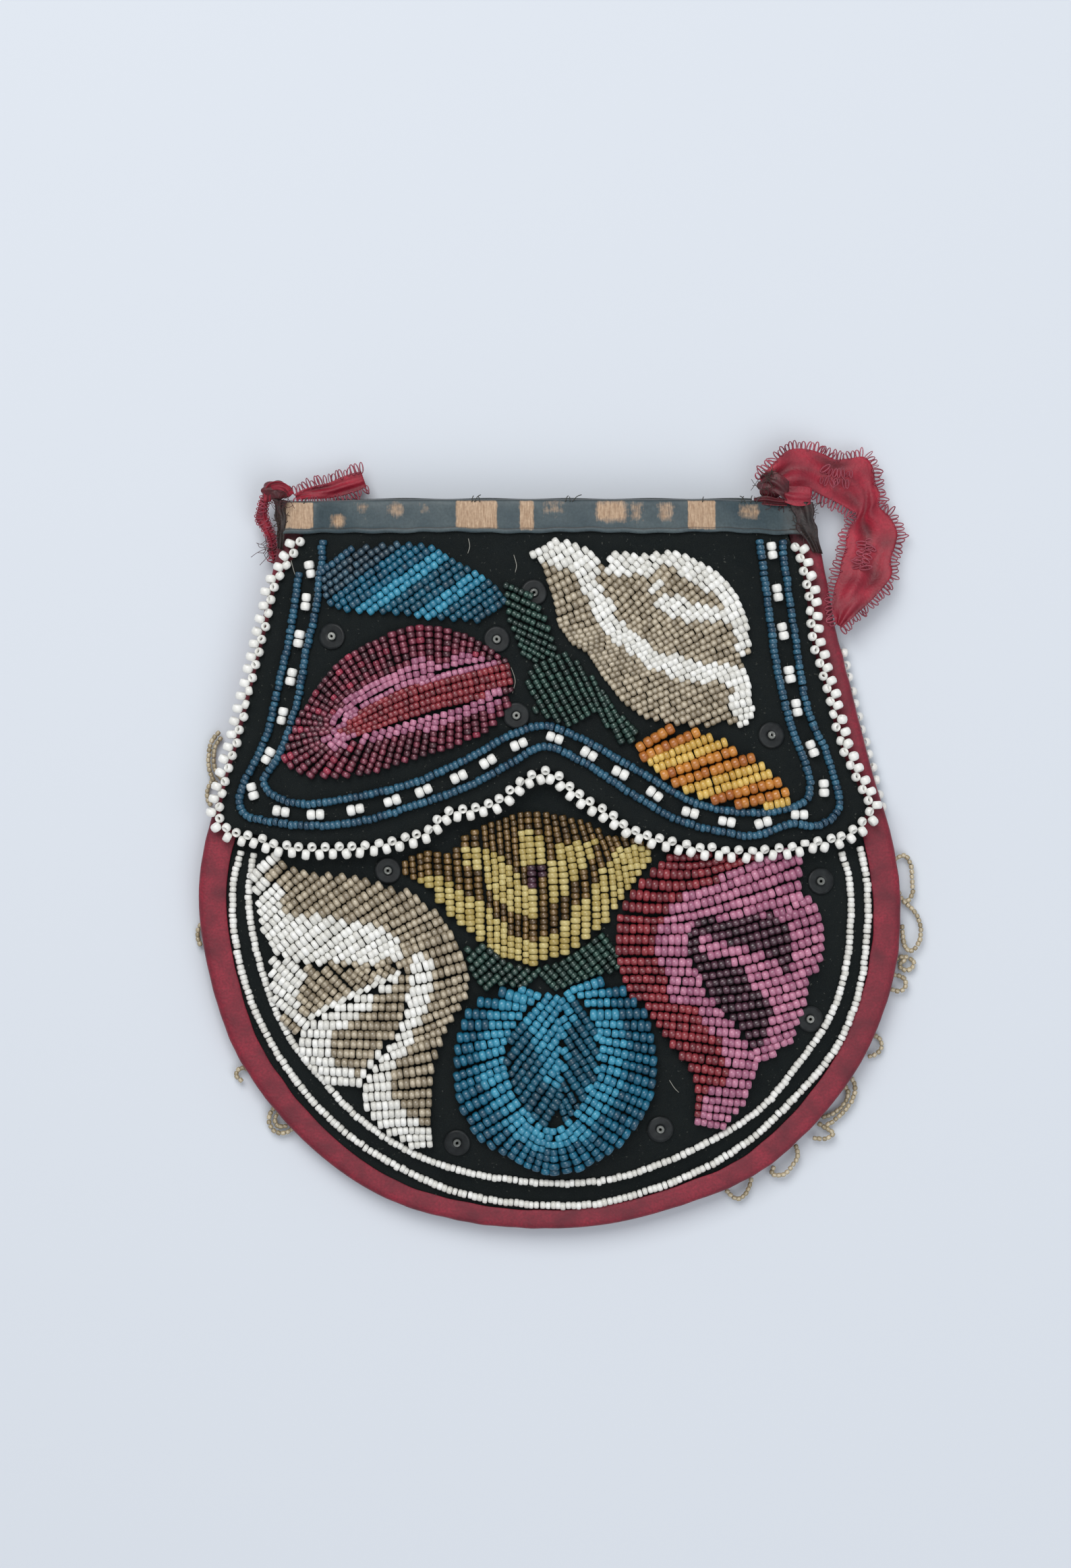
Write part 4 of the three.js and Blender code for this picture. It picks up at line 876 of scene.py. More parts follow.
def string(name, beads, shape, finish, tilt=0.06):
    """Turns a list of (place, direction, length, width, tint) in millimetres into one mesh of beads.

    The width is one number, or a pair of width and height.
    """
    places = metres([b[0] for b in beads])
    cloud = bpy.data.meshes.new(name)
    cloud.from_pydata([tuple(p) for p in places], [], [])
    turns, sizes, tints = [], [], []
    for _, way, length, width, tint in beads:
        flat = math.hypot(way[0], way[1])
        turns += [0.0, -math.atan2(way[2], flat), math.atan2(way[1], way[0])]
        wide, tall = width if isinstance(width, tuple) else (width, width)
        sizes += [length * MM, wide * MM, tall * MM]
        tints.append(tint)
    fields = (("turn", "FLOAT_VECTOR", "vector", turns), ("size", "FLOAT_VECTOR", "vector", sizes),
              ("tint", "FLOAT", "value", tints))
    for label, kind, key, values in fields:
        cloud.attributes.new(label, kind, "POINT").data.foreach_set(key, values)
    source = set_out(name + "_places", cloud)
    stringing = source.modifiers.new("String", "NODES")
    stringing.node_group = BEAD_TREE
    for label, value in (("Bead", shape), ("Finish", finish), ("Tilt", tilt), ("Seed", len(beads))):
        stringing[SOCKET[label]] = value
    ready = source.evaluated_get(bpy.context.evaluated_depsgraph_get())
    mesh = bpy.data.meshes.new_from_object(ready)
    mesh.name = name
    bpy.data.objects.remove(source)
    return set_out(name, mesh)


def along_line(line, pitch, length, width, level, base=mound, spread=0.06, clip=None):
    """Beads threaded one after the other along a line in the plane."""
    line = even(line, pitch)
    middles = (line[:-1] + line[1:]) / 2
    if clip is not None:
        middles = middles[clip(middles)]
    way = headings(middles) if len(middles) > 1 else np.array([[1.0, 0.0]])
    middles = middles + rng.normal(0, spread, middles.shape) * 0.5
    height = base(middles) + level + width / 2
    slope = np.gradient(height) / pitch
    beads = []
    for (x, y), z, ahead, climb in zip(middles, height, way, slope):
        long = length * (1 + rng.normal(0, 0.05))
        wide = width * (1 + rng.normal(0, 0.04))
        beads.append(((x, y, z), (ahead[0], ahead[1], climb), long, wide, rng.random()))
    return beads


# %% [markdown]
# The lines of small beads: two white ones round the panel and two blue ones round the flap.

# %% Lines of small beads
LINE_PITCH = 1.08
ON_PANEL = FRONT_TOP
ON_FLAP = FLAP_TOP


def uncovered(places):
    """The flap hides the upper ends of the panel's lines."""
    return ~inside(flap_outline(-1.2, 0), places)


LINES = {
    "panel_line_outer": (WHITE_OUTER, ON_PANEL, "white", "white_beads", 1.6, uncovered),
    "panel_line_inner": (WHITE_INNER, ON_PANEL, "white", "white_beads", 1.55, uncovered),
    "flap_line_outer": (BLUE_OUTER, ON_FLAP, "line_blue", "line_blue_beads", 1.72, None),
    "flap_line_inner": (BLUE_INNER, ON_FLAP, "line_blue", "line_blue_beads", 1.72, None)}
for name, (points, level, colour, slot, width, clip) in LINES.items():
    beads = along_line(curve(points, 0.5), LINE_PITCH, LINE_PITCH, width, level, spread=0.14, clip=clip)
    dress(string(f"beads_{name}", beads, BARREL, GLASS[colour]), slot, name)
    print(name, len(beads), "beads")

# %% [markdown]
# Pairs of larger white beads sit between the two blue lines. Each pair turns with the band, so its direction
# comes from the nearest places on the two lines.

# %% Pairs between the blue lines
PAIR_APART = 0.92
PAIR_RAISED = 0.86
PAIR_LENGTH, PAIR_WIDTH = 1.7, 2.18
outer_line, inner_line = curve(BLUE_OUTER, 0.5), curve(BLUE_INNER, 0.5)
beads, stitches = [], []
for pair in np.array(PAIRS, float):
    a = outer_line[np.argmin(np.linalg.norm(outer_line - pair, axis=1))]
    b = inner_line[np.argmin(np.linalg.norm(inner_line - pair, axis=1))]
    across = (b - a) / np.linalg.norm(b - a)
    way = np.array([across[1], -across[0]])
    middle = (a + b) / 2
    turn = rng.normal(0, 0.07)
    cos, sin = math.cos(turn), math.sin(turn)
    way = np.array([way[0] * cos - way[1] * sin, way[0] * sin + way[1] * cos])
    for side in (-1, 1):
        x, y = middle + way * side * PAIR_APART
        z = mound([(x, y)])[0] + ON_FLAP + PAIR_RAISED
        width = PAIR_WIDTH * (1 + rng.normal(0, 0.05))
        beads.append(((x, y, z), (*way, 0), PAIR_LENGTH, width, 0.6 + 0.4 * rng.random()))
    x, y = middle + way * 2.0
    stitches.append(curve([(*middle, z - 0.4), (x, y, z - 0.8), (*(middle + way * 2.6), z - 1.0)], 0.4))
dress(string("beads_flap_pairs", beads, BARREL, GLASS["white"], 0.05), "white_beads", "flap_bead_pairs")
print("pairs", len(PAIRS))

# %% [markdown]
# The flap's edge is sewn with a picot: one bead sits out over the edge, the next lies inside it with its hole
# up, and so on. Ring beads make the holes show.

# %% Picot beads along a flap
PICOT_PITCH = 2.75
OVER_EDGE, INSIDE_EDGE = 0.85, -0.62
OUTER_BEAD, INNER_BEAD = (1.62, 2.28), (1.4, 1.95)
TUCKED = 1.2


def picot(line, base, level):
    """Beads out over the edge, and beads inside it with their holes up, in turn."""
    line = even(line, PICOT_PITCH / 2)
    way = headings(line)
    out = np.stack([way[:, 1], -way[:, 0]], axis=1)
    beads = []
    for i, (place, outward, ahead) in enumerate(zip(line, out, way)):
        outside = i % 2 == 0
        x, y = place + outward * (OVER_EDGE if outside else INSIDE_EDGE) + rng.normal(0, 0.1, 2)
        z = base([(x, y)])[0] + level + rng.normal(0, 0.05)
        shade = 0.6 + 0.4 * rng.random()
        if outside:
            hole = (*(ahead + outward * rng.normal(0, 0.16)), rng.normal(0, 0.12))
            beads.append(((x, y, z + 0.4), hole, *OUTER_BEAD, shade))
        else:
            lean = rng.normal(1.0, 0.5)
            hole = (*(outward + ahead * rng.normal(0, 0.4)), lean)
            beads.append(((x, y, z + 0.75), hole, *INNER_BEAD, shade * 0.8))
    return beads


FRONT_START, BACK_START = from_px(0, 802)[1], from_px(0, 946)[1]
beads = [bead for bead in picot(flap_edge, mound, FLAP_TOP + 0.1) if bead[0][1] < FRONT_START]
dress(string("beads_front_picot", beads, RING, GLASS["white"], 0.1), "white_beads", "front_flap_edge_beads")
back_edge = mirrored(flap_edge)[::-1]
tucked = back_edge - np.sign(back_edge) * (TUCKED, 0)
beads = [bead for bead in picot(tucked, table, 0.95) if bead[0][1] < BACK_START]
dress(string("beads_back_picot", beads, RING, GLASS["white"], 0.03), "white_beads", "back_flap_edge_beads")
print("picot beads", len(beads))

# %% [markdown]
# ## Raised beadwork
# Each flower, leaf and bud is filled with rows of beads, sewn side by side. The rows fan out and bend with
# the shape. For each area a few rows are given as guides, read off the real bag, and the rows between them
# are worked out. A row is cut to its area and filled with whole beads, and each bead takes the colour of the
# field that it falls in.

# %% Rows from guides
CROWDED = 0.62
AWAY = 0.25
ROW_STEP = 0.15
SHORTEST = 0.6
NARROWEST, WIDEST, SNUG = 0.86, 1.2, 1.05
CELL = 3
USUAL_GAP = 82


def resampled(line, count):
    """The same line with another number of places."""
    new, old = np.linspace(0, 1, count), np.linspace(0, 1, len(line))
    return np.stack([np.interp(new, old, line[:, k]) for k in range(line.shape[1])], axis=1)


def stretches(here):
    """The first and last number of each run of places that may hold beads."""
    starts = np.flatnonzero(here & ~np.append(False, here[:-1]))
    ends = np.flatnonzero(here & ~np.append(here[1:], False))
    return list(zip(starts, ends))


def rows_between(guides, pitch):
    """Rows of beads about one pitch apart, worked out between the guides."""
    guides = [curve(g, 0.5) if len(g) > 2 else even(g, 0.5) for g in guides]
    size = max(len(g) for g in guides)
    spread = [resampled(g, size) for g in guides]
    rows, room = [], np.full(size, pitch)
    for a, b in zip(spread, spread[1:]):
        way = headings(a)
        gap = np.abs((b - a)[:, 0] * way[:, 1] - (b - a)[:, 1] * way[:, 0])
        count = max(1, round(np.percentile(gap, USUAL_GAP) / pitch))
        room = gap / count
        rows += [np.column_stack([a + (b - a) * k / count, room]) for k in range(count)]
    return rows + [np.column_stack([spread[-1], room])]


def fill(area, guides, pitch, bead, taken, row_colours=None, avoid=(), grow=0.3):
    """Whole beads along each row, inside the area. Gives (place, direction, length, width, row's colour)."""
    length, width = bead
    filled = []
    area = np.asarray(area, float)
    border = np.vstack([area, area[:1]])
    for number, guided in enumerate(rows_between(guides, pitch)):
        row = even(guided[:, :2], ROW_STEP)
        room = resampled(guided[:, 2:], len(row))[:, 0]
        here = inside(area, row) | (distance(border, row) < grow)
        for other in avoid:
            here &= ~inside(other, row) & (distance(np.vstack([other, other[:1]]), row) > AWAY)
        for start, end in stretches(here):
            stretch = row[start:end + 1]
            long = (len(stretch) - 1) * ROW_STEP
            if long < length * SHORTEST:
                continue
            count = max(1, round(long / length))
            for k in range(count):
                at = min(len(stretch) - 1, round((k + 0.5) / count * (len(stretch) - 1)))
                place = stretch[at]
                ahead = stretch[min(at + 2, len(stretch) - 1)] - stretch[max(at - 2, 0)]
                ahead = ahead / np.linalg.norm(ahead)
                wide = width * min(WIDEST, max(NARROWEST, SNUG * room[start + at] / pitch))
                cell = (int(place[0] // CELL), int(place[1] // CELL))
                close = [q for i in (-1, 0, 1) for j in (-1, 0, 1)
                         for q in taken.get((cell[0] + i, cell[1] + j), ())]
                apart = [math.hypot(np.dot(q - place, ahead) / length, np.cross(ahead, q - place) / wide)
                         for q in close]
                if min(apart, default=1) < CROWDED:
                    continue
                taken.setdefault(cell, []).append(place)
                colour = row_colours[number] if row_colours else None
                filled.append((place, ahead, long / count, wide, colour))
    return filled


# %% [markdown]
# Each motif is a small table: its areas with their guides, the pitch of its rows, the length and width of its
# beads, its colour fields and the solids that it covers. All are in drawn millimetres. The blue leaf is the
# simplest. Its rows are straight and each has one colour, so the colours are named row by row.

# %% The flap's blue leaf
MOTIFS = {}
MOTIFS["flap_leaf_blue"] = dict(
    on="flap", ground="mid_blue",
    families=[dict(
        area=[(-46.8, 59.6), (-45, 62.6), (-41, 64.4), (-36, 65), (-30, 65.4), (-24, 65), (-19.5, 62),
              (-15, 59.6), (-11, 57), (-9, 54.4), (-9.6, 51.2), (-14, 49.8), (-18, 50.2), (-26, 50.6),
              (-30, 51.6), (-36, 51.6), (-42, 52.2), (-45.4, 53.6), (-46.4, 56.6)],
        guides=[[(-60, 50.5), (-20, 79.05)], [(-44.5, 28.8), (-4.5, 57.35)]],
        pitch=1.57, bead=(1.3, 1.6),
        row_colours=["line_blue"] + ["navy"] * 3 + ["mid_blue"] * 3 + ["light_blue"] * 2 +
                    ["inner_blue"] * 3 + ["light_blue"] * 2 + ["inner_blue"] * 4 + ["line_blue"] * 3)],
    fields=[],
    nodes=dict(mid_blue=["flap_leaf_blue"],
               light_blue=["flap_leaf_blue_light_left", "flap_leaf_blue_light_right"]))

# %% [markdown]
# The bud has a core of rows along its length. Round the core the rows stand like rays, so the guides turn
# with the outline, and the core is an area that the rays avoid.

# %% The flap's maroon bud
BUD_OUTLINE = [
    (-54.6, 21), (-53.6, 25), (-51.4, 30), (-47.6, 36), (-43.4, 41.2), (-38, 44.6), (-32, 47.4),
    (-27.6, 48.8), (-22, 48.4), (-16, 46.4), (-11, 43.4), (-8, 40), (-7.8, 36), (-8.4, 32), (-13, 27),
    (-20, 24), (-28, 21.6), (-36, 18.8), (-43, 17.8), (-50, 18)]
BUD_CORE = [
    (-43.2, 27), (-40.9, 29.8), (-36.2, 32.7), (-30.1, 35.6), (-25, 37.3), (-19.9, 38.8), (-13.8, 40),
    (-9.1, 41.3), (-7.7, 40.2), (-7.9, 36.7), (-11.7, 35.1), (-17.9, 32.5), (-24, 30.9), (-30.1, 29),
    (-36.2, 27.4), (-40.9, 26.1)]
BUD_RING = [
    (-10.9, 41.7), (-14.1, 42.7), (-18.2, 43.2), (-21.5, 41.4), (-24.3, 41.6), (-27.1, 42.5), (-30.3, 39.9),
    (-33.1, 38.4), (-36.4, 37.1), (-39.2, 35.6), (-41.1, 35.2), (-42.6, 31.9), (-44.4, 30.2), (-44.4, 27.4),
    (-46.7, 25.9), (-45.5, 24.3), (-43.7, 23.5), (-40.1, 24.6), (-35.1, 25.4), (-31.8, 25.6), (-28.4, 26.7),
    (-24.3, 27.4), (-20.6, 28.7), (-16.9, 30.6), (-14.1, 30.8), (-10.8, 31.3), (-10, 33.6), (-10.2, 36.2)]
MOTIFS["flap_bud_maroon"] = dict(
    on="flap", ground="maroon",
    families=[
        dict(area=BUD_CORE, pitch=1.35, bead=(1.15, 1.42), grow=0.75,
             guides=[[(-44, 31), (-24, 41.6), (-10, 45)], [(-44, 27.6), (-26, 35.8), (-8, 40.6)],
                     [(-42, 25.6), (-24, 32), (-7, 36)]]),
        dict(area=BUD_OUTLINE, avoid=[BUD_CORE], pitch=1.72, bead=(1.25, 1.65),
             guides=[[(-9, 40.8), (-6.5, 42.4)], [(-13.4, 39.6), (-11, 45.4)], [(-19.6, 38.4), (-18.8, 48.6)],
                     [(-25.6, 36.8), (-26.6, 50)], [(-30.6, 35), (-34.6, 48)], [(-35.6, 32.8), (-42, 44)],
                     [(-40, 30.4), (-48.6, 38)], [(-42.2, 28.6), (-53.6, 31.6)], [(-42.8, 27.4), (-56, 25.4)],
                     [(-42.4, 26.8), (-55, 19)], [(-40, 27.2), (-47.6, 16)], [(-35, 28.2), (-39.6, 17)],
                     [(-29, 29.6), (-31.8, 19)], [(-23, 31.4), (-24.2, 21.4)], [(-17, 33), (-16.6, 24)],
                     [(-11, 35.4), (-9.4, 28)], [(-8.4, 36.4), (-6.4, 33)]])],
    fields=[("red_brown", BUD_CORE), ("pink", BUD_RING)], sparkle=("bright_red", 0.1),
    nodes=dict(maroon=["flap_bud_maroon"], pink=["flap_bud_maroon_ring"]))

# %% [markdown]
# The flower is clear tan glass with white bands. The bands don't follow the rows: they run over them, and a
# bead is white where it falls inside a band.

# %% The flap's flower
FLOWER_OUTLINE = [
    (-4.6, 63.6), (-3.4, 65.6), (0, 66.2), (4, 65.8), (8.6, 64), (10.2, 62), (11.4, 60.2), (13.4, 63.6),
    (16.4, 63.4), (19.4, 63), (21.6, 63.2), (24.4, 63.8), (27.6, 63.2), (30.6, 61.8), (34.6, 59.4),
    (37.4, 56.4), (39.4, 53.4), (41, 50.4), (40.4, 47), (41.6, 44.6), (39.4, 42.2), (38, 41.2), (39.8, 40.4),
    (41, 37.4), (41, 34), (42.2, 31), (39.6, 28.4), (36, 29.4), (32, 28.6), (27, 28), (21, 29), (17, 31.4),
    (13.4, 35.4), (10.4, 39.6), (8, 43.4), (4.6, 45.4), (2, 49), (1.2, 54), (-0.4, 58.6), (-1.4, 62)]
MOTIFS["flap_flower"] = dict(
    on="flap", ground="clear_tan",
    families=[dict(
        area=FLOWER_OUTLINE, pitch=1.5, bead=(1.22, 1.62),
        guides=[[(-6, 62), (-1, 64.4), (3, 67)], [(-2.5, 58.4), (4, 62), (10, 66)],
                [(0, 54), (8, 58.5), (15.5, 65)], [(1.4, 49.6), (9.5, 53.5), (21.4, 64.6)],
                [(2.6, 46.6), (11.5, 49.5), (27.4, 64.4)], [(5.4, 43.4), (15.5, 46.8), (34, 61)],
                [(9, 39.6), (20.5, 43.6), (38.6, 55)], [(12.4, 36), (26, 41.5), (41.2, 49)],
                [(15.4, 32.6), (31, 39.6), (41.8, 44)], [(19.4, 30), (36, 38), (41.6, 40)],
                [(25.6, 28.8), (37.5, 34), (42, 35.5)], [(31.6, 28.2), (38, 31), (42.6, 32)],
                [(36.4, 27.8), (39, 28.6), (41.4, 29.4)]])],
    fields=[
        ("white", [(-5, 63), (-4, 66), (4.4, 66.6), (10.4, 62.6), (9.8, 57.6), (11.8, 54.8), (13, 52.6),
                   (15.4, 49), (18.6, 46.8), (20.6, 44.6), (23.8, 42.6), (27, 42.8), (31.4, 40.8), (36, 41.2),
                   (38.4, 40.8), (41.4, 38), (41.4, 35), (42.6, 31), (39.4, 28.2), (37.4, 30.6), (36.6, 33.6),
                   (37.6, 36), (34, 37.2), (30, 36.8), (25, 38.4), (19.6, 40.6), (16.6, 43), (13.6, 45.4),
                   (11.2, 47.8), (8.8, 51.6), (6.8, 56.2), (4.6, 59.4), (0.8, 60.6), (-1.4, 62.2)]),
        ("white", [(11.2, 60), (13, 64.4), (20, 64.2), (25, 64.8), (32, 62), (38, 57.2), (41.2, 51),
                   (41, 47.4), (42, 44.4), (39.6, 43), (37.8, 44.4), (38.4, 47), (36.4, 49.8), (33, 49.4),
                   (28, 49.4), (24, 51.4), (20.8, 53), (22, 54.6), (24.8, 55.4), (29, 53.6), (33.6, 52.8),
                   (36.4, 52), (35, 54.8), (31, 55.8), (29.4, 57.8), (26.4, 58.6), (25.4, 61), (22, 61),
                   (20.8, 59.2), (17.6, 59), (14, 59.4)]),
        ("white", [(20.4, 55), (22.2, 54.8), (24, 57.6), (22.4, 58.4)])],
    nodes=dict(clear_tan=["flap_flower"], white=["flap_flower_sash", "flap_flower_rim"]))

# %% [markdown]
# The small leaf is made of larger orange beads and smaller yellow ones. Every row is given by its two ends.

# %% The flap's orange and yellow leaf
ORANGE_BEAD, YELLOW_BEAD = (1.62, 2.15), (1.2, 1.98)
LEAF_ROWS = [
    ("orange", (17.9, 23.6), (25.6, 28)), ("orange", (18.6, 21.6), (30.8, 27.2)),
    ("yellow", (20.2, 20.8), (33.4, 26)), ("yellow", (21.6, 19.4), (36.4, 25)),
    ("orange", (22.8, 18), (38.4, 23.4)), ("orange", (25, 16.4), (42, 21.8)),
    ("yellow", (27.4, 15), (44, 20.2)), ("yellow", (30.4, 13.9), (45.6, 18.6)),
    ("orange", (33, 13), (47.6, 17)), ("orange", (37.8, 12), (49, 14.8)),
    ("yellow", (43.8, 11.7), (49.4, 12.9))]
MOTIFS["flap_leaf_gold"] = dict(
    on="flap", ground="orange",
    families=[dict(
        area=[(a[0] - 1, a[1] - 1), (a[0] - 1, a[1] + 1), (b[0] + 1, b[1] + 1), (b[0] + 1, b[1] - 1)],
        guides=[[a, b]], pitch=1.7, bead=ORANGE_BEAD if colour == "orange" else YELLOW_BEAD,
        row_colours=[colour]) for colour, a, b in LEAF_ROWS],
    fields=[],
    nodes=dict(orange=["flap_leaf_gold"],
               yellow=["flap_leaf_gold_yellow_left", "flap_leaf_gold_yellow_right"]))

# %% The flap's green stem
MOTIFS["flap_stem_green"] = dict(
    on="flap", ground="green",
    families=[
        dict(area=[(-9, 57.4), (-5.4, 57.6), (-2.6, 53), (-0.8, 50.4), (0.6, 46.6), (1.6, 43), (-4.6, 41),
                   (-6.4, 46), (-8.4, 50.6)],
             guides=[[(-11, 58), (-2, 54)], [(-9.6, 50.6), (1, 45.8)], [(-6, 43.6), (4, 38)]], pitch=1.62,
             bead=(1.15, 1.3)),
        dict(area=[(-4.6, 41), (1.6, 43.6), (5.6, 42.6), (9.8, 36.4), (13.4, 31.6), (18, 28.4), (17.6, 24.8),
                   (12, 25), (8, 27.4), (3, 28.8), (-2.6, 31.2), (-4.2, 36)],
             guides=[[(-6, 37), (-1, 28.4)], [(-3, 41), (4.4, 28)], [(3, 43.4), (9.4, 31)],
                                              [(8, 40), (15, 24.6)],
                     [(12.4, 33), (19.4, 25)]], pitch=1.62, bead=(1.15, 1.3))],
    fields=[], nodes=dict(green=["flap_stem_green"]))

# %% [markdown]
# The panel's tan flower is sewn in three parts: a broad band that sweeps round, and two hollows inside it,
# whose rows lie at another slant.

# %% The panel's tan flower
SWEEP = [
    (-61, -3), (-58.6, 0.8), (-56, 1.6), (-53.6, -0.8), (-48, -2.4), (-40, -2.6), (-36, -3.6), (-32.4, -5.4),
    (-28, -6), (-25.6, -8.6), (-23, -10), (-20, -14.4), (-18, -18.4), (-16.6, -22.6), (-17, -27),
    (-18.4, -30.4), (-21.4, -34), (-22, -39), (-23.8, -43), (-24.2, -48), (-24.6, -53), (-24.2, -59),
    (-27.6, -58.6), (-30.4, -56.4), (-33.6, -55), (-36, -52.4), (-38, -49.6), (-38, -45.4), (-36.4, -42.2),
    (-34.2, -39.6), (-31.4, -36), (-29.6, -31.6), (-28.4, -26.8), (-28.4, -23), (-30, -20.6), (-36, -20.8),
    (-43, -20.6), (-50, -20.2), (-56, -18.6), (-58.8, -14), (-59.8, -9)]
HOLLOW = [
    (-56.4, -18.8), (-50, -20.4), (-43, -20.8), (-36, -21), (-31, -21.6), (-31.4, -22.6), (-36, -24.6),
    (-41, -27.2), (-46, -29.4), (-49.4, -31.8), (-50.4, -34), (-52.4, -33.6), (-55.2, -29.8), (-56.6, -25)]
LOWER = [
    (-31, -22), (-36.5, -24.6), (-42, -27.6), (-46, -29.6), (-49, -32), (-50.6, -36), (-50.6, -39),
    (-48.6, -41.6), (-44.6, -44.6), (-39, -46), (-38, -45.4), (-36.6, -42.4), (-34.5, -39.6), (-31.4, -36),
    (-29.6, -31.6), (-28.9, -27), (-29, -22.6)]
MOTIFS["panel_flower"] = dict(
    on="panel", ground="clear_tan",
    families=[
        dict(area=SWEEP, pitch=1.9, bead=(1.22, 1.85), guides=[
            [(-61.4, -3.6), (-59, -1), (-55.6, 2)], [(-60.4, -9), (-56, -4.6), (-51.4, -0.6)],
            [(-59.4, -14.4), (-51.6, -7.4), (-43.6, -1.4)], [(-56.6, -18.4), (-47, -10.5), (-37, -3.4)],
            [(-50.4, -20.6), (-40, -13), (-28.4, -5.6)], [(-43.4, -21.4), (-34, -15.5), (-22.4, -9.6)],
            [(-36.4, -21.4), (-28, -17.5), (-19, -14.2)], [(-30.6, -22), (-24, -20.5), (-16.4, -18.3)],
            [(-29, -26.5), (-23, -25), (-16, -22.9)], [(-29.6, -31), (-23, -29), (-16.6, -26.7)],
            [(-32, -36), (-26, -34), (-19.6, -31.5)], [(-35, -40.2), (-29, -38.3), (-22, -36.2)],
            [(-37.4, -44.2), (-30, -43), (-23.6, -41.9)], [(-39, -48), (-31, -47.4), (-24, -47)],
            [(-38, -52), (-31, -51.2), (-24.2, -51)], [(-34.6, -55.5), (-29.5, -54.8), (-24.2, -54.8)],
            [(-30, -58.2), (-27.5, -57.8), (-24, -57.6)]]),
        dict(area=HOLLOW, pitch=1.85, bead=(1.22, 1.8), grow=0.8, guides=[
            [(-58, -28.6), (-50, -36)], [(-58, -24), (-46, -33.6)], [(-58, -18.8), (-44, -31.4)],
            [(-52.4, -18.6), (-41, -29.4)], [(-46, -19), (-37.6, -27.4)], [(-40, -20), (-33, -25)],
            [(-34.6, -20.4), (-30.4, -23)]]),
        dict(area=LOWER, pitch=2.0, bead=(1.3, 1.95), grow=0.8, guides=[
            [(-36, -22.4), (-28, -21.6)], [(-52, -33), (-28, -33.2)], [(-52, -44), (-32, -45.4)]])],
    fields=[
        ("white", [(-61.6, -3), (-58.6, 1.4), (-56, 2), (-55.4, 0), (-57.8, -2.4), (-55, -5.4),
                   (-54.4, -10.6), (-47, -10.4), (-40, -12), (-33.2, -13.6), (-31, -15.6), (-30.4, -18.8),
                   (-36, -20.8), (-43, -20.2), (-49.6, -20.6), (-50.2, -24), (-51.6, -28), (-50, -34.6),
                   (-58, -29), (-59, -18), (-61.6, -8)]),
        ("white", [(-30, -21.8), (-35, -23.2), (-39.5, -26.2), (-42.3, -27.4), (-45.4, -28.6), (-48, -30.4),
                   (-50, -32.8), (-51.2, -37), (-51, -39), (-48.8, -42), (-45, -45), (-39, -45.8),
                   (-39, -43.6), (-41.2, -41.4), (-44.6, -40.8), (-44.6, -37), (-45.6, -35.6), (-44.3, -34.4),
                   (-42, -33.3), (-39, -31.6), (-36.3, -29.8), (-35.8, -27.2), (-32.4, -25.6),
                   (-30.2, -23.6)]),
        ("white", [(-28.4, -18.6), (-24.2, -19.2), (-23.6, -23), (-24, -27.4), (-25.6, -31), (-27.3, -34),
                   (-27.6, -36), (-29.6, -38.8), (-31.8, -41.4), (-32.2, -44), (-32.4, -47), (-31, -49.6),
                   (-28.6, -52), (-26.4, -53.2), (-23.6, -54), (-23, -60), (-31, -60), (-40, -52), (-39, -43),
                   (-32, -36), (-29, -28), (-28.6, -22)])],
    nodes=dict(clear_tan=["panel_flower"],
               white=["panel_flower_sash", "panel_flower_low_edge", "panel_flower_right_band"]))

# %% [markdown]
# The gold bud's bands are narrow V shapes, so their outlines are read straight off the photograph, in its
# pixels.

# %% The panel's gold bud
GOLD_EYE_PX = [(780, 1284), (804, 1284), (804, 1314), (780, 1314)]
GOLD_TOP_PX = [(764, 1228), (784, 1228), (786, 1240), (794, 1242), (796, 1234), (810, 1234), (810, 1264),
               (804, 1281), (776, 1281), (772, 1268), (764, 1262)]
GOLD_INNER_PX = [
    (684, 1262), (698, 1256), (724, 1260), (740, 1264), (750, 1278), (764, 1292), (772, 1306), (786, 1314),
    (800, 1314), (801, 1362), (790, 1362), (776, 1357), (762, 1350), (750, 1346), (746, 1336), (736, 1334),
    (732, 1321), (722, 1318), (718, 1306), (710, 1300), (708, 1287), (694, 1284), (686, 1276)]
GOLD_ARM_PX = [
    (808, 1302), (815, 1298), (816, 1274), (824, 1268), (824, 1254), (838, 1252), (846, 1244), (864, 1245),
    (888, 1246), (882, 1258), (876, 1274), (868, 1286), (860, 1292), (856, 1302), (846, 1312), (838, 1326),
    (828, 1330), (826, 1341), (812, 1341), (812, 1314)]
GOLD_OUTER_PX = [
    (622, 1299), (650, 1300), (662, 1304), (670, 1316), (690, 1320), (700, 1330), (712, 1336), (726, 1342),
    (730, 1354), (740, 1362), (750, 1371), (758, 1384), (772, 1387), (782, 1397), (794, 1396), (806, 1385),
    (820, 1382), (826, 1372), (834, 1366), (840, 1356), (848, 1345), (858, 1344), (864, 1334), (872, 1324),
    (882, 1308), (888, 1293), (898, 1288), (904, 1276), (914, 1262), (930, 1252), (970, 1262), (960, 1300),
    (890, 1400), (790, 1440), (700, 1400), (620, 1320)]
GOLD_BANDS_PX = (GOLD_OUTER_PX, GOLD_INNER_PX, GOLD_ARM_PX, GOLD_TOP_PX)


def read_px(outline):
    return [from_px(*place) for place in outline]


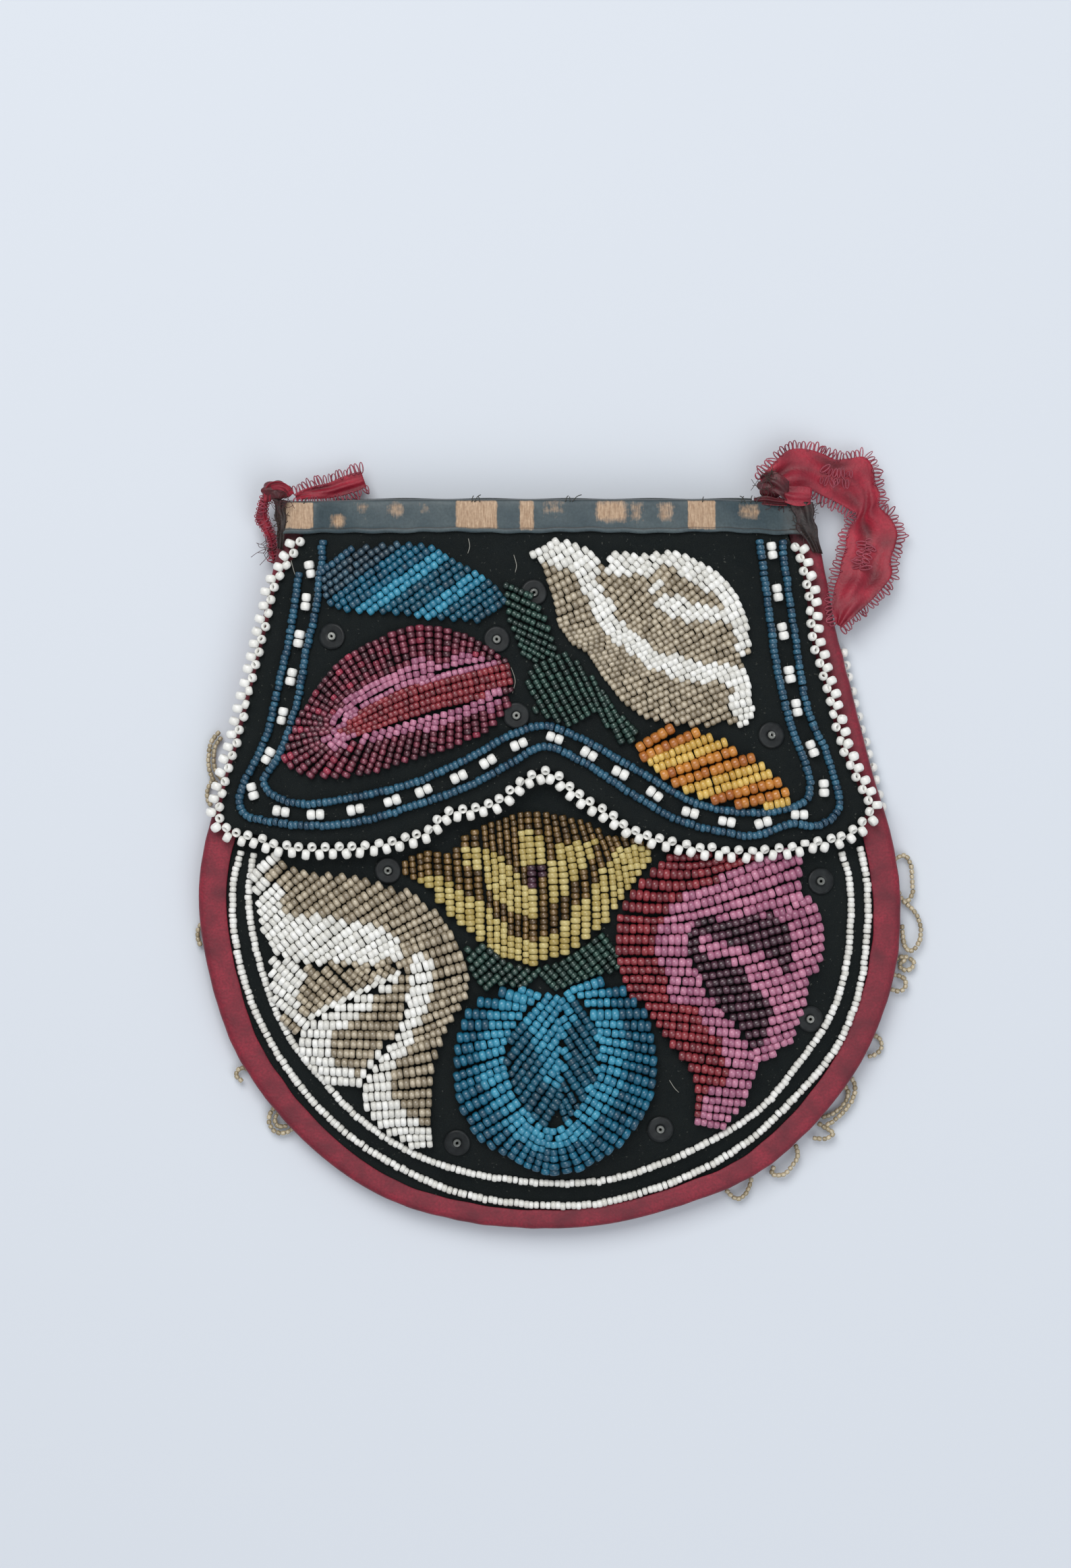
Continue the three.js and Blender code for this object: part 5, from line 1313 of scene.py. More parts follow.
MOTIFS["panel_bud_gold"] = dict(
    on="panel", ground="brown_gold",
    families=[dict(
        area=[(-30, 0), (-28.6, 1.4), (-25, 2.4), (-21, 2), (-18.6, 3.4), (-17, 6), (-13, 8), (-9, 9.2),
              (-6, 10.4), (-2, 10.6), (3, 9.6), (7, 8.8), (10, 7), (12, 5.4), (15, 5.6), (20, 4.4), (20.6, 1),
              (18.6, -1.6), (15.4, -6), (11.4, -12), (7.4, -15.4), (3.4, -18.4), (-1.4, -19.6), (-3.4, -20.8),
              (-6, -19.6), (-10, -18.8), (-13.6, -16), (-16.2, -13.6), (-19.4, -11.4), (-22, -8.2),
              (-23.4, -5), (-27, -3.4), (-29.6, -2)],
        pitch=1.78, bead=(1.22, 1.72), guides=[
            [(-29.8, 2), (-29.6, -0.4), (-29.4, -3)], [(-25, 3.4), (-24.8, -0.8), (-24.5, -6)],
            [(-21, 3), (-20.5, -4), (-20, -13)], [(-17.5, 8), (-16.6, -3), (-16, -15)],
            [(-13.5, 9.6), (-12.4, -4), (-12, -18)], [(-9, 11), (-8, -4.5), (-7.8, -21)],
            [(-4.5, 12), (-3.4, -5), (-3.2, -22)], [(-0.8, 12), (0.9, -4), (1, -21)],
            [(2.4, 11), (5.2, -3), (5.4, -19)], [(6, 10), (9.2, -1.5), (9.8, -15)],
            [(9.4, 8.6), (12.6, -0.4), (13.6, -11)], [(12.8, 7), (15.3, 0.6), (16.4, -7)],
            [(17, 6.4), (17.8, 2), (18.4, -3)], [(20.4, 6), (20.3, 2.6), (20.4, -1)]])],
    fields=[
        ("purple", read_px(GOLD_EYE_PX)),
        *(("pale_yellow", read_px(band)) for band in GOLD_BANDS_PX)],
    nodes=dict(brown_gold=["panel_bud_gold"],
               pale_yellow=["panel_bud_gold_outer_band", "panel_bud_gold_inner_band"]))

# %% [markdown]
# The heart's outer rows stand like rays. Inside, two sets of rows lean together and meet in the middle, and a
# ring of lighter beads, drawn as a line with a width, lies between the two.

# %% The panel's blue heart
HEART_RING_WIDTH = 10.8
HEART_INNER = [
    (-2.4, -28.4), (-4.2, -29.8), (-5, -31.3), (-6.4, -33), (-7.5, -34.8), (-8.4, -37), (-8.9, -39),
    (-8.2, -42), (-7, -45.6), (-5.8, -47.8), (-4.4, -50), (-2.6, -52), (-0.6, -53.6), (1.4, -54),
    (3.4, -52.4), (6, -49.6), (7.8, -46.8), (9.6, -43.8), (10.3, -39.7), (9.8, -36), (9.2, -33), (8, -31),
    (7, -28.6), (5.4, -27), (3.4, -26.4), (0.6, -27.2)]
MOTIFS["panel_heart_blue"] = dict(
    on="panel", ground="mid_blue",
    families=[
        dict(area=[(-1.7, -27.4), (-4.6, -26.4), (-9, -25), (-12.1, -26.4), (-16.8, -30.2), (-18.8, -35.6),
                   (-19.3, -40), (-19.4, -44.9), (-18.4, -50.1), (-15.2, -56), (-9.9, -59.4), (-4.1, -62.6),
                   (0.2, -64.2), (6.4, -63), (10.4, -60.6), (15, -57.5), (18.9, -52.6), (21.2, -48),
                   (22, -42.5), (21.4, -36), (19.9, -30.1), (17, -27.4), (15.3, -25.8), (11.4, -24.2),
                   (9.5, -23.6), (6, -24.4), (3, -26), (0.6, -27.2)],
             avoid=[HEART_INNER], pitch=2.1, bead=(1.42, 2.0), guides=[
                 [(-1.8, -27.4), (-8.6, -24.6)], [(-2.9, -28.4), (-10.4, -26.2)],
                 [(-4.6, -29.6), (-15.4, -28.2)], [(-5.3, -31.3), (-18, -30.7)], [(-6.7, -33), (-19, -33)],
                 [(-7.8, -34.6), (-19.6, -35.8)], [(-8.7, -36.3), (-19.8, -38.3)], [(-9, -38.1), (-20, -41)],
                 [(-8.7, -40), (-20, -44)], [(-8.4, -43), (-19.8, -48.7)], [(-7.2, -47), (-16.6, -53)],
                 [(-4.7, -50.4), (-15.2, -57)], [(-3.2, -52), (-10.4, -60)], [(-1, -53.8), (-5, -63.6)],
                 [(0.8, -54.2), (1.2, -65)], [(2.2, -53.8), (7, -64)], [(4.2, -52), (13.6, -60)],
                 [(6.4, -49.6), (17.6, -56.4)], [(8.2, -46.6), (20.4, -52.2)], [(10.1, -43.6), (22.6, -48.2)],
                 [(10.7, -39.7), (23, -43.2)], [(10.1, -36), (22.4, -38.3)], [(9.5, -32.7), (21.6, -33.4)],
                 [(8.2, -31), (20.4, -30.7)], [(7.3, -28.6), (18, -28.4)], [(5.8, -27), (16.4, -26)],
                 [(4.4, -26), (11.6, -23.8)]]),
        dict(area=HEART_INNER, pitch=1.8, bead=(1.35, 1.75), grow=0.6, guides=[
            [(-12, -41), (1.8, -25)], [(-10, -46), (1, -31), (2.4, -29)],
            [(-9, -50), (0.8, -37), (2.4, -34.8)], [(-6.6, -53.4), (0.6, -43), (2.6, -40.2)],
            [(-3, -56), (0.8, -50), (2.4, -47)]]),
        dict(area=HEART_INNER, pitch=1.8, bead=(1.35, 1.75), grow=0.6, guides=[
            [(13, -40), (1.2, -22.8)], [(12, -45.4), (1.0, -29)], [(11, -50), (1.2, -35.6)],
            [(8, -53.6), (1.2, -42.2)], [(4.4, -55), (1.4, -46.8)]])],
    fields=[
        ("light_blue", [(-4.7, -32.6), (-3.8, -29.5), (-1.7, -27.2), (2.1, -26.8), (4.6, -26), (5.2, -30.1),
                        (4.9, -32.9), (3.4, -34.7), (4, -38.1), (4.7, -41.2), (3.4, -43.7), (1.4, -45.7),
                        (0, -46.6), (-1.3, -42.4), (-2, -39.4), (-4.1, -35.3)]),
        ("inner_blue", HEART_INNER),
        ("light_blue", [
            (-4.4, -28.4), (-6, -31), (-7.6, -34), (-8.6, -37), (-8.9, -40), (-8.2, -43), (-7, -46),
            (-5.2, -49.4), (-2.6, -52.4), (0.4, -53.6), (3.4, -52.4), (6, -49.6), (8, -46.6), (9.8, -43),
            (10.2, -39.7), (9.8, -36),
            (9, -32.6), (7.6, -29.4), (6, -27)], HEART_RING_WIDTH)],
    nodes=dict(mid_blue=["panel_heart_blue"],
               light_blue=["panel_heart_blue_ring", "panel_heart_blue_middle"]))

# %% [markdown]
# The red flower mirrors the tan one, but its rows lie across it. Three areas meet without a gap, and pink
# bands and purple fields run over them.

# %% The panel's red flower
MOTIFS["panel_flower_red"] = dict(
    on="panel", ground="red_brown",
    families=[
        dict(area=[(27, 3.4), (51.4, 3.4), (51.4, -1), (51.8, -3), (50.4, -5.2), (52, -7.2), (50.4, -8.6),
                   (47, -9.8), (43.4, -10.4), (36, -10.6), (30, -11.3), (14.4, -11.3), (15.4, -9), (18, -5),
                   (21, -2.2)],
             pitch=2.05, bead=(1.38, 1.85), guides=[
                 [(14, 4), (32, 3.4), (54, 11)], [(14, -1), (30.4, -2), (54, 6.5)],
                 [(14, -6), (28, -6.6), (54, 2)],
                 [(13, -11), (25, -11.4), (54, -3.6)], [(13, -14), (28, -14.4), (54, -8.4)]], grow=0.6),
        dict(area=[(14.2, -11.4), (29.4, -11.4), (28.4, -15), (28.2, -18.6), (30.2, -22), (31.6, -26),
                   (34.8, -29.6), (38.6, -33.6), (41.2, -38.4), (43, -41.6), (41.4, -45), (40.4, -49),
                   (37.4, -52), (35.6, -54.8), (33.4, -54.4), (30, -52.6), (30.4, -48), (29.8, -43),
                   (25.4, -37.6), (22.4, -33), (20, -29), (16.8, -27.4), (14.8, -22), (13.6, -18)],
             pitch=2.05, bead=(1.38, 1.85), guides=[
                 [(13, -13.2), (22, -13.4), (31, -13)], [(13, -20), (22, -20), (32, -20.4)],
                 [(14, -27), (24, -27.6), (35, -28.6)], [(20, -34.2), (30, -35.6), (41, -37.2)],
                 [(28, -41.6), (35, -42.6), (44, -43.6)], [(28, -47.8), (34, -48.6), (42, -49.4)],
                 [(28.6, -52.6), (33, -53.4), (38, -54.4)]]),
        dict(area=[(29.4, -11.6), (36, -10.8), (43, -10.6), (47, -9.6), (50.6, -6.2), (54.4, -8), (55.8, -12),
                   (56, -16), (55.4, -20.4), (52.8, -23), (52.4, -28), (51, -32), (49.2, -36.6), (43, -40),
                   (41.6, -39.5), (38.9, -34), (34.8, -30), (31.8, -26.2), (30.3, -22.4), (28.3, -18.8),
                   (28.6, -15)],
             pitch=2.05, bead=(1.45, 1.85), grow=0.7, guides=[
                 [(28, -11), (40, -8), (57, -2)], [(28, -16.4), (42, -13), (58, -8)],
                 [(28, -20), (42, -17), (58, -12.5)], [(29, -23.5), (43, -21.2), (58, -16.5)],
                 [(31, -26.5), (44, -24.8), (58, -20.5)], [(33.4, -30), (44, -28.6), (57, -25)],
                 [(37, -33.6), (45, -32.4), (55, -29.5)], [(39, -37.4), (45, -36.4), (53, -33.6)],
                 [(40.6, -40.6), (45, -39.4), (51, -37)]])],
    fields=[
        ("pink", [(24, -9.4), (26.6, -6.8), (29.8, -5.4), (33, -4.2), (35, -2.6), (38, -1.6), (41, -0.8),
                  (43.6, 0.6), (45.6, 2), (46, 4), (53, 4), (53, -6.6), (47, -9.7), (43, -10.9), (36, -11.1),
                  (30, -11.8), (28.4, -14), (28.1, -18.4), (31, -23), (33, -27.4), (36, -30), (40, -34),
                  (42.4, -38.6), (44, -42), (41, -50), (36, -56), (30, -53.4), (31.6, -50.8), (32.2, -48),
                  (33, -45.8), (36, -44.6), (37.4, -42.8), (38.2, -41.6), (35.6, -40), (36, -37),
                  (33.6, -35.2), (32.4, -33), (30.4, -31), (29.6, -28.6), (25, -27.8), (24.6, -24),
                  (23.4, -21.4), (21.8, -20), (21.4, -17), (21.8, -14), (22.8, -12)]),
        ("pink", [(43, -9), (46.8, -11), (49, -12), (50, -13.6), (50.2, -19.4), (49, -21.8), (47.6, -21.6),
                  (46.4, -20.4), (44.6, -18.8), (41.4, -17.2), (36, -16.6), (34.8, -15.2), (30.4, -15.1),
                  (30.6, -17.2), (32.4, -19), (35.8, -19.8), (39, -21), (40, -23), (42, -25.2), (44, -26.6),
                  (45.8, -28.4), (46.4, -31), (44.8, -33.6), (44.8, -36), (42.2, -38), (42, -41), (52, -39),
                  (60, -20), (56, -5), (50, -5)]),
        ("purple", [(28, -12), (36, -10.4), (43, -10.4), (52, -11), (54, -22), (50, -36), (43, -41),
                    (40.6, -39.6), (34.4, -30), (29, -21)])],
    nodes=dict(red_brown=["panel_flower_red"],
               pink=["panel_flower_red_pink_left", "panel_flower_red_pink_right"]))

# %% The panel's green leaves
MOTIFS["panel_leaves_green"] = dict(
    on="panel", ground="green",
    families=[
        dict(area=[(-17, -17.6), (-13, -16.8), (-8.4, -20.4), (-3, -22), (-1.6, -26.8), (-6, -25.4),
                   (-9, -24.4), (-13.6, -25.6), (-16, -22)],
             guides=[[(-19, -20), (-14, -15)], [(-17, -27), (-6, -17)], [(-9, -28), (0, -20)]], pitch=1.55,
             bead=(1.15, 1.4)),
        dict(area=[(-2.4, -21.6), (3, -20), (7.4, -16.8), (10.6, -14.6), (14.2, -15.6), (14, -22),
                   (10, -22.6), (4.6, -24.6), (-1, -27)],
             guides=[[(-3, -21), (3, -27)], [(5, -18), (10, -24)], [(10, -14), (16, -21)]], pitch=1.55,
             bead=(1.15, 1.4))],
    fields=[], nodes=dict(green=["panel_leaves_green"]))

# %% [markdown]
# The real pads are sewn over padding, so they are a little higher in the middle than at their edge. The same
# beads differ in width from one to the next, and a few colours run wider or narrower than the rest.

# %% String the motifs
NEAREST_SLOT = dict(
    inner_blue="mid_blue", navy="mid_blue", bright_red="maroon", purple="maroon", pale_yellow="yellow")
BEAD_WIDTHS = {"white": 1.08, "clear_tan": 1.0, "brown_gold": 0.88, "pink": 1.05, "green": 1.12}
PADDING, PADDING_EDGE = 0.45, 2.5
SEWN_DOWN = 0.92
hidden = flap_outline(-0.4, 0)


def in_field(places, points, width=None):
    """Which places lie in an outline or, where a width is given, on a line of that width."""
    if width is None:
        return inside(points, places)
    return distance(curve(points, 0.5), places) < width / 2


total = 0
for name, motif in MOTIFS.items():
    level = ON_FLAP if motif["on"] == "flap" else ON_PANEL
    taken, filled = {}, []
    for family in motif["families"]:
        filled += fill(family["area"], family["guides"], family["pitch"], family["bead"], taken,
                       family.get("row_colours"), family.get("avoid", ()), family.get("grow", 0.3))
    places = np.array([f[0] for f in filled])
    if motif["on"] == "panel":
        seen = ~inside(hidden, places)
        filled = [f for f, keep in zip(filled, seen) if keep]
        places = places[seen]
    colours = [f[4] or motif["ground"] for f in filled]
    for colour, *shape in reversed(motif["fields"]):
        for i in np.flatnonzero(in_field(places, *shape)):
            colours[i] = colour
    last_area = motif["families"][-1]["area"]
    edge = distance(np.array(last_area + last_area[:1], float), places)
    by_colour = {}
    for (place, way, length, width, _), colour, z, from_edge in zip(filled, colours, mound(places), edge):
        if motif.get("sparkle") and colour == motif["ground"] and rng.random() < motif["sparkle"][1]:
            colour = motif["sparkle"][0]
        wide = width * BEAD_WIDTHS.get(colour, 1.0) * (1 + rng.normal(0, 0.035))
        x, y = place + rng.normal(0, 0.05, 2)
        padded = PADDING * (1 - math.exp(-from_edge / PADDING_EDGE))
        height = z + level + wide / 2 * SEWN_DOWN + padded + rng.normal(0, 0.03)
        bead = ((x, y, height), (*way, 0), length * 0.97, wide, rng.random())
        by_colour.setdefault(colour, []).append(bead)
    for colour, beads in by_colour.items():
        piece = string(f"beads_{name}_{colour}", beads, BARREL, GLASS[colour], 0.07)
        dress(piece, NEAREST_SLOT.get(colour, colour) + "_beads", *motif["nodes"].get(colour, ()))
        total += len(beads)
    print(name, {colour: len(beads) for colour, beads in by_colour.items()})
print("beads in the motifs", total)

# %% [markdown]
# Sequins are thin dished discs of dark gelatine, each held down by one clear bead on its thread.

# %% Sequins
def make_sequin():
    finish, tree, shader = start_finish(
        "Dark sequin", Roughness=0.5, Specular_IOR_Level=0.25, Coat_Weight=0.1, Coat_Roughness=0.3)
    stain = use(tree, STAIN, Size=1.5, Grain=0.3)
    colour = mix_colour(tree, stain.outputs["Slow"], linear(18, 21, 23), linear(36, 40, 41))
    tree.links.new(colour, shader.inputs["Base Color"])
    return finish


SEQUIN = make_sequin()
SEQUIN_SECTION = [
    (0.3, 0.3), (1.4, 0.32), (2.2, 0.36), (2.7, 0.4), (2.72, 0.46), (2.2, 0.44), (1.4, 0.4), (0.3, 0.38)]
SEQUIN_SIDES = 28
for part, places in SEQUINS.items():
    level = ON_FLAP if part == "flap" else ON_PANEL
    vertices, faces, beads = [], [], []
    for x, y in places:
        ground = mound([(x, y)])[0] + level
        start = len(vertices)
        turn = np.linspace(0, 2 * math.pi, SEQUIN_SIDES, endpoint=False)
        for r, z in SEQUIN_SECTION:
            flat = np.column_stack([x + r * np.cos(turn), y + r * np.sin(turn)])
            vertices += np.column_stack([flat, mound(flat) + level + z]).tolist()
        for ring in range(len(SEQUIN_SECTION)):
            here = start + ring * SEQUIN_SIDES
            beyond = start + (ring + 1) % len(SEQUIN_SECTION) * SEQUIN_SIDES
            for j in range(SEQUIN_SIDES):
                k = (j + 1) % SEQUIN_SIDES
                faces.append((here + j, beyond + j, beyond + k, here + k))
        hole = (rng.normal(0, 0.25), rng.normal(0, 0.25), 1)
        beads.append(((x, y, ground + 0.95), hole, 0.9, 1.7, rng.random()))
    names = [f"{part}_sequin_{i + 1}" for i in range(len(places))]
    dress(new_piece(f"sequins_{part}", metres(vertices), faces, SEQUIN), "sequins", *names)
    dress(string(f"beads_{part}_sequins", beads, RING, GLASS["smoke"], 0.1), "sequins")
    print(part, "sequins", len(places))

# %% [markdown]
# ## Ribbons at the corners
# A red silk ribbon hangs in a loop from the right corner, and a short tail and a strand are left at the
# other. They are crumpled, so each is a surface between two given edges, with waves across it. Both edges of
# the ribbon have picots, tiny loops of thread, which the bead tree sets along the edge as well.

# %% Ribbon surfaces between two edges
LOOP_RUNGS = [
    ((1126, 709), (1143, 735), 7.4), ((1149, 684), (1165, 727), 7.0), ((1170, 666), (1185, 724), 6.2),
    ((1195, 664), (1204, 726), 5.6), ((1222, 671), (1222, 734), 5.0), ((1240, 679), (1240, 742), 4.4),
    ((1262, 677), (1254, 749), 3.8), ((1285, 675), (1266, 756), 3.4), ((1297, 690), (1272, 760), 3.2),
    ((1301, 714), (1272, 765), 3.0), ((1308, 730), (1268, 770), 2.8), ((1307, 748), (1262, 780), 2.4),
    ((1322, 762), (1258, 792), 2.0), ((1334, 786), (1257, 808), 2.0), ((1331, 806), (1251, 828), 2.2),
    ((1324, 828), (1247, 848), 2.8), ((1325, 850), (1240, 868), 3.6), ((1306, 876), (1236, 888), 4.8),
    ((1282, 900), (1234, 902), 5.4), ((1262, 918), (1238, 914), 5.7), ((1249, 930), (1240, 923), 5.6)]
TAIL_RUNGS = [
    ((437, 731), (438, 740), 6.6), ((450, 724), (452, 739), 5.8), ((468, 718), (470, 738), 5.0),
    ((488, 713), (492, 736), 4.4), ((505, 705), (512, 731), 4.0), ((522, 699), (530, 725), 3.6),
    ((534, 696), (542, 719), 3.2)]
STRAND_RUNGS = [
    ((386, 736), (399, 738), 6.6), ((381, 754), (395, 752), 5.6), ((378, 768), (395, 764), 4.8),
    ((386, 782), (400, 776), 4.0), ((395, 798), (405, 792), 3.2), ((397, 814), (408, 806), 2.6),
    ((402, 830), (408, 829), 2.0)]
KNOT_BANDS = {
    "left_bow": (LOOP_SILK, [
        ((391, 744), (402, 743), 7.4), ((392, 727), (404, 732), 8.4), ((400, 716), (408, 727), 9.0),
        ((414, 714), (415, 727), 9.2), ((427, 719), (422, 729), 8.8), ((436, 731), (427, 737), 8.2)]),
    "right_wrap": (KNOT_SILK, [
        ((1127, 706), (1134, 722), 8.0), ((1142, 698), (1148, 730), 9.3), ((1158, 704), (1160, 738), 9.4),
        ((1170, 714), (1168, 744), 8.6)]),
    "right_flat": (LOOP_SILK, [
        ((1162, 719), (1163, 745), 8.8), ((1176, 721), (1178, 750), 8.8), ((1190, 720), (1192, 750), 8.5),
        ((1204, 723), (1202, 747), 8.2)]),
    "right_rot": (ROTTED_SILK, [
        ((1170, 744), (1205, 744), 8.1), ((1174, 756), (1208, 758), 8.0), ((1182, 768), (1206, 770), 7.9),
        ((1180, 782), (1212, 780), 7.6), ((1196, 800), (1214, 798), 7.0), ((1206, 818), (1221, 820), 5.9)]),
    "left_rot": (ROTTED_SILK, [
        ((404, 738), (426, 742), 8.2), ((408, 752), (421, 755), 8.0), ((407, 764), (425, 766), 7.9),
        ((411, 780), (422, 782), 7.6), ((410, 796), (421, 798), 6.9), ((411, 812), (418, 814), 6.0)]),
    "right_strip": (KNOT_SILK, [
        ((1117, 739), (1118, 748), 9.4), ((1134, 735), (1135, 749), 9.0), ((1150, 738), (1152, 750), 8.6),
        ((1167, 740), (1167, 750), 8.3)])}


RIBBON_THICK = 0.22


def ribbon_surface(name, rungs, finish, wave, across=22, seed=0.0):
    """A thin crumpled sheet between two edges, and its two edge lines."""
    left = curve([(*from_px(*a), z) for a, _, z in rungs], 0.5)
    right = curve([(*from_px(*b), z) for _, b, z in rungs], 0.5)
    count = max(len(left), len(right))
    share = np.linspace(0, 1, count)
    left, right = resampled(left, count), resampled(right, count)
    v = np.linspace(0, 1, across)
    grid = left[:, None] * (1 - v)[None, :, None] + right[:, None] * v[None, :, None]
    u = share[:, None] * count * 0.5
    fold = (np.sin(v[None] * 7.5 + u / 6 + seed) + 0.6 * np.sin(v[None] * 13 - u / 4 + 2 * seed) +
            0.5 * np.sin(u / 1.9 + v[None] * 3 + seed))
    grid[..., 2] += wave * fold * np.sin(math.pi * np.clip(v, 0.04, 0.96))[None]
    under = grid.copy()
    under[..., 2] -= RIBBON_THICK
    rows = np.concatenate([grid, under[:, ::-1]], axis=1)
    piece = loft(name, rows[:, ::-1], finish)
    # Painted shade: darker in the hollows of the folds, along a line down the middle, and over the first
    # three millimetres.
    painted_fold_shade = np.clip(-fold * 0.32 - 0.1, 0, 0.55) + 0.22 * np.exp(-((v[None] - 0.5) / 0.05) ** 2)
    painted_fold_shade = painted_fold_shade + 0.35 * np.clip(1 - u / 3, 0, 1)
    set_field(piece, "soil_and_shade", np.concatenate([painted_fold_shade, painted_fold_shade[:, ::-1]], axis=1)[:, ::-1])
    return piece, grid


def picot_loops(name, edges, finish, pitch=0.85, reach=2.0):
    """Tiny loops of thread that stand out from ribbon edges."""
    loops = []
    for edge, side in edges:
        edge = even(edge, pitch)
        way = headings(edge)
        for place, ahead in zip(edge, way):
            out = np.array([ahead[1], -ahead[0], 0]) * side
            out = out / max(np.linalg.norm(out), 1e-6)
            out = out * math.cos(0.3) + ahead * rng.normal(0.1, 0.22)
            long = reach * (1 + rng.normal(0, 0.16))
            middle = place + out * long * 0.32 + (0, 0, rng.normal(0, 0.12))
            outward = (out[0], out[1], rng.normal(0.1, 0.25))
            loops.append((middle, outward, long, (0.72 * (1 + rng.normal(0, 0.15)), 0.9), rng.random()))
    return string(name, loops, THREAD_LOOP, finish, 0.2)


def thread_loop():
    """A thin oval ring of thread, one long and one wide."""
    rounds, sides = 12, 4
    vertices = []
    for a in np.linspace(0, 2 * math.pi, rounds, endpoint=False):
        for b in np.linspace(0, 2 * math.pi, sides, endpoint=False):
            x, y = (0.5 - 0.05 * math.cos(b)) * math.cos(a), (0.5 - 0.2 * math.cos(b)) * math.sin(a)
            vertices.append((x, y, 0.14 * math.sin(b)))
    faces = [tuple(corner % len(vertices) for corner in face) for face in wall(rounds + 1, sides)]
    return set_out("thread_loop", smooth_mesh("thread_loop", vertices, faces))


THREAD_LOOP = thread_loop()
TURNED_OVER = [(0.24, 0.36, 9, -1), (0.25, 0.35, 11, 1), (0.62, 0.74, 12, -1), (0.63, 0.73, 13, 1)]
for name, rungs, wave, seed in (("loop", LOOP_RUNGS, 0.5, 0.4), ("tail", TAIL_RUNGS, 0.3, 1.7),
                                ("strand", STRAND_RUNGS, 0.25, 2.9)):
    surface, grid = ribbon_surface(f"ribbon_red_{name}", rungs, LOOP_SILK, wave, seed=seed)
    dress(surface, "red_ribbon", f"ribbon_{name}")
    edges = [(grid[:, 0], -1), (grid[:, -1], 1)]
    if name == "loop":
        count = len(grid)
        for start, end, across, side in TURNED_OVER:
            edges.append((grid[round(start * count):round(end * count), across] + (0, 0, 0.5), side))
    dress(picot_loops(f"picots_{name}", edges, PICOT_THREAD), "red_ribbon")
    print("ribbon", name, "rows", len(grid))

# %% [markdown]
# The knots are the same ribbon, crushed. A ball pushed in and out by folds that run round it reads as a knot
# at this size.

# %% Knots
KNOT_ROWS, KNOT_SIDES = 26, 44


def knot(name, node_name, place_px, size, height, seed):
    x, y = from_px(*place_px)
    lon = np.linspace(0, 2 * math.pi, KNOT_SIDES, endpoint=False)
    rows = []
    for lat in np.linspace(-math.pi / 2 + 0.05, math.pi / 2 - 0.05, KNOT_ROWS):
        fold = 1 + 0.12 * np.sin(3 * lon + 4 * lat + seed) + 0.08 * np.sin(4 * lon - 5 * lat + 2 * seed)
        flat = math.cos(lat)
        lift = np.full(KNOT_SIDES, height + size[2] * math.sin(lat)) + 0.25 * np.sin(4 * lon + seed) * flat
        rows.append(np.stack(
            [x + size[0] * fold * np.cos(lon) * flat, y + size[1] * fold * np.sin(lon) * flat, lift], axis=1))
    dress(loft(name, rows, KNOT_SILK), "knot_ribbon", node_name)


knot("knot_right", "ribbon_knot_right", (1144, 722), (2.7, 2.3, 2.0), 7.2, 0.5)
knot("knot_left", "ribbon_knot_left", (409, 727), (3.0, 1.9, 1.8), 7.2, 2.2)
for name, (finish, rungs) in KNOT_BANDS.items():
    band, _ = ribbon_surface(f"ribbon_{name}", rungs, finish, 0.35, across=14, seed=len(name))
    dress(band, "knot_ribbon")
print("bands round the knots", len(KNOT_BANDS))

# %% [markdown]
# ## Fringe
# Behind the bag hangs what is left of a fringe: strings of clear tan beads that were sewn in loops under the
# binding.

# %% Fringe of clear beads
FRINGE_PX = [
    [(322, 1084), (311, 1096), (306, 1120), (308, 1146), (318, 1164)],
    [(326, 1092), (316, 1104), (313, 1124), (316, 1144), (326, 1156)],
    [(312, 1156), (304, 1168), (304, 1186), (310, 1196)],
    [(300, 1366), (291, 1376), (289, 1392), (294, 1404)],
    [(405, 1644), (396, 1656), (398, 1674), (412, 1684), (428, 1680), (436, 1668)],
    [(412, 1650), (404, 1662), (410, 1674), (424, 1672)],
    [(366, 1588), (352, 1586), (346, 1598), (356, 1606)],
    [(1328, 1276), (1346, 1268), (1354, 1282), (1357, 1306), (1356, 1330), (1344, 1338), (1336, 1322)],
    [(1342, 1336), (1354, 1346), (1366, 1362), (1370, 1384), (1364, 1404), (1352, 1412), (1344, 1398),
     (1342, 1372)],
    [(1330, 1424), (1346, 1420), (1360, 1428), (1354, 1440), (1340, 1438), (1338, 1428), (1348, 1426)],
    [(1326, 1446), (1342, 1450), (1348, 1462), (1338, 1472), (1324, 1468)],
    [(1292, 1540), (1304, 1538), (1312, 1550), (1306, 1564), (1290, 1570)],
    [(1266, 1600), (1272, 1616), (1266, 1636), (1254, 1652), (1240, 1664), (1228, 1672)],
    [(1256, 1612), (1262, 1626), (1252, 1644), (1236, 1656), (1222, 1660)],
    [(1216, 1668), (1228, 1676), (1240, 1684), (1226, 1692), (1208, 1690)],
    [(1182, 1700), (1186, 1716), (1176, 1734), (1162, 1746), (1146, 1744), (1150, 1732)],
    [(1116, 1750), (1112, 1768), (1098, 1782), (1088, 1778), (1078, 1768)]]
beads = []
for path in FRINGE_PX:
    line = curve([(*from_px(*p), 0) for p in path], 0.4)[:, :2]
    beads += along_line(line, 1.0, 0.96, 1.0, 0.15 + 0.8 * rng.random(), table, 0.08)
dress(string("beads_fringe", beads, BARREL, GLASS["loop_tan"], 0.2), "loop_beads", "loop_fringe")
print("fringe beads", len(beads))

# %% [markdown]
# ## Loose threads
# Small things make old work look old: ends of thread on the velvet, frayed silk at the mouth's corners, a
# broken end on the blue line.

# %% Threads and lint
def make_thread(name, colour):
    finish, tree, shader = start_finish(name, Roughness=0.7)
    stain = use(tree, STAIN, Size=2.0, Grain=0.2)
    share = math_node(tree, "MULTIPLY", stain.outputs["Fine"], 0.4)
    tree.links.new(mix_colour(tree, share, colour, linear(70, 62, 56)), shader.inputs["Base Color"])
    return finish


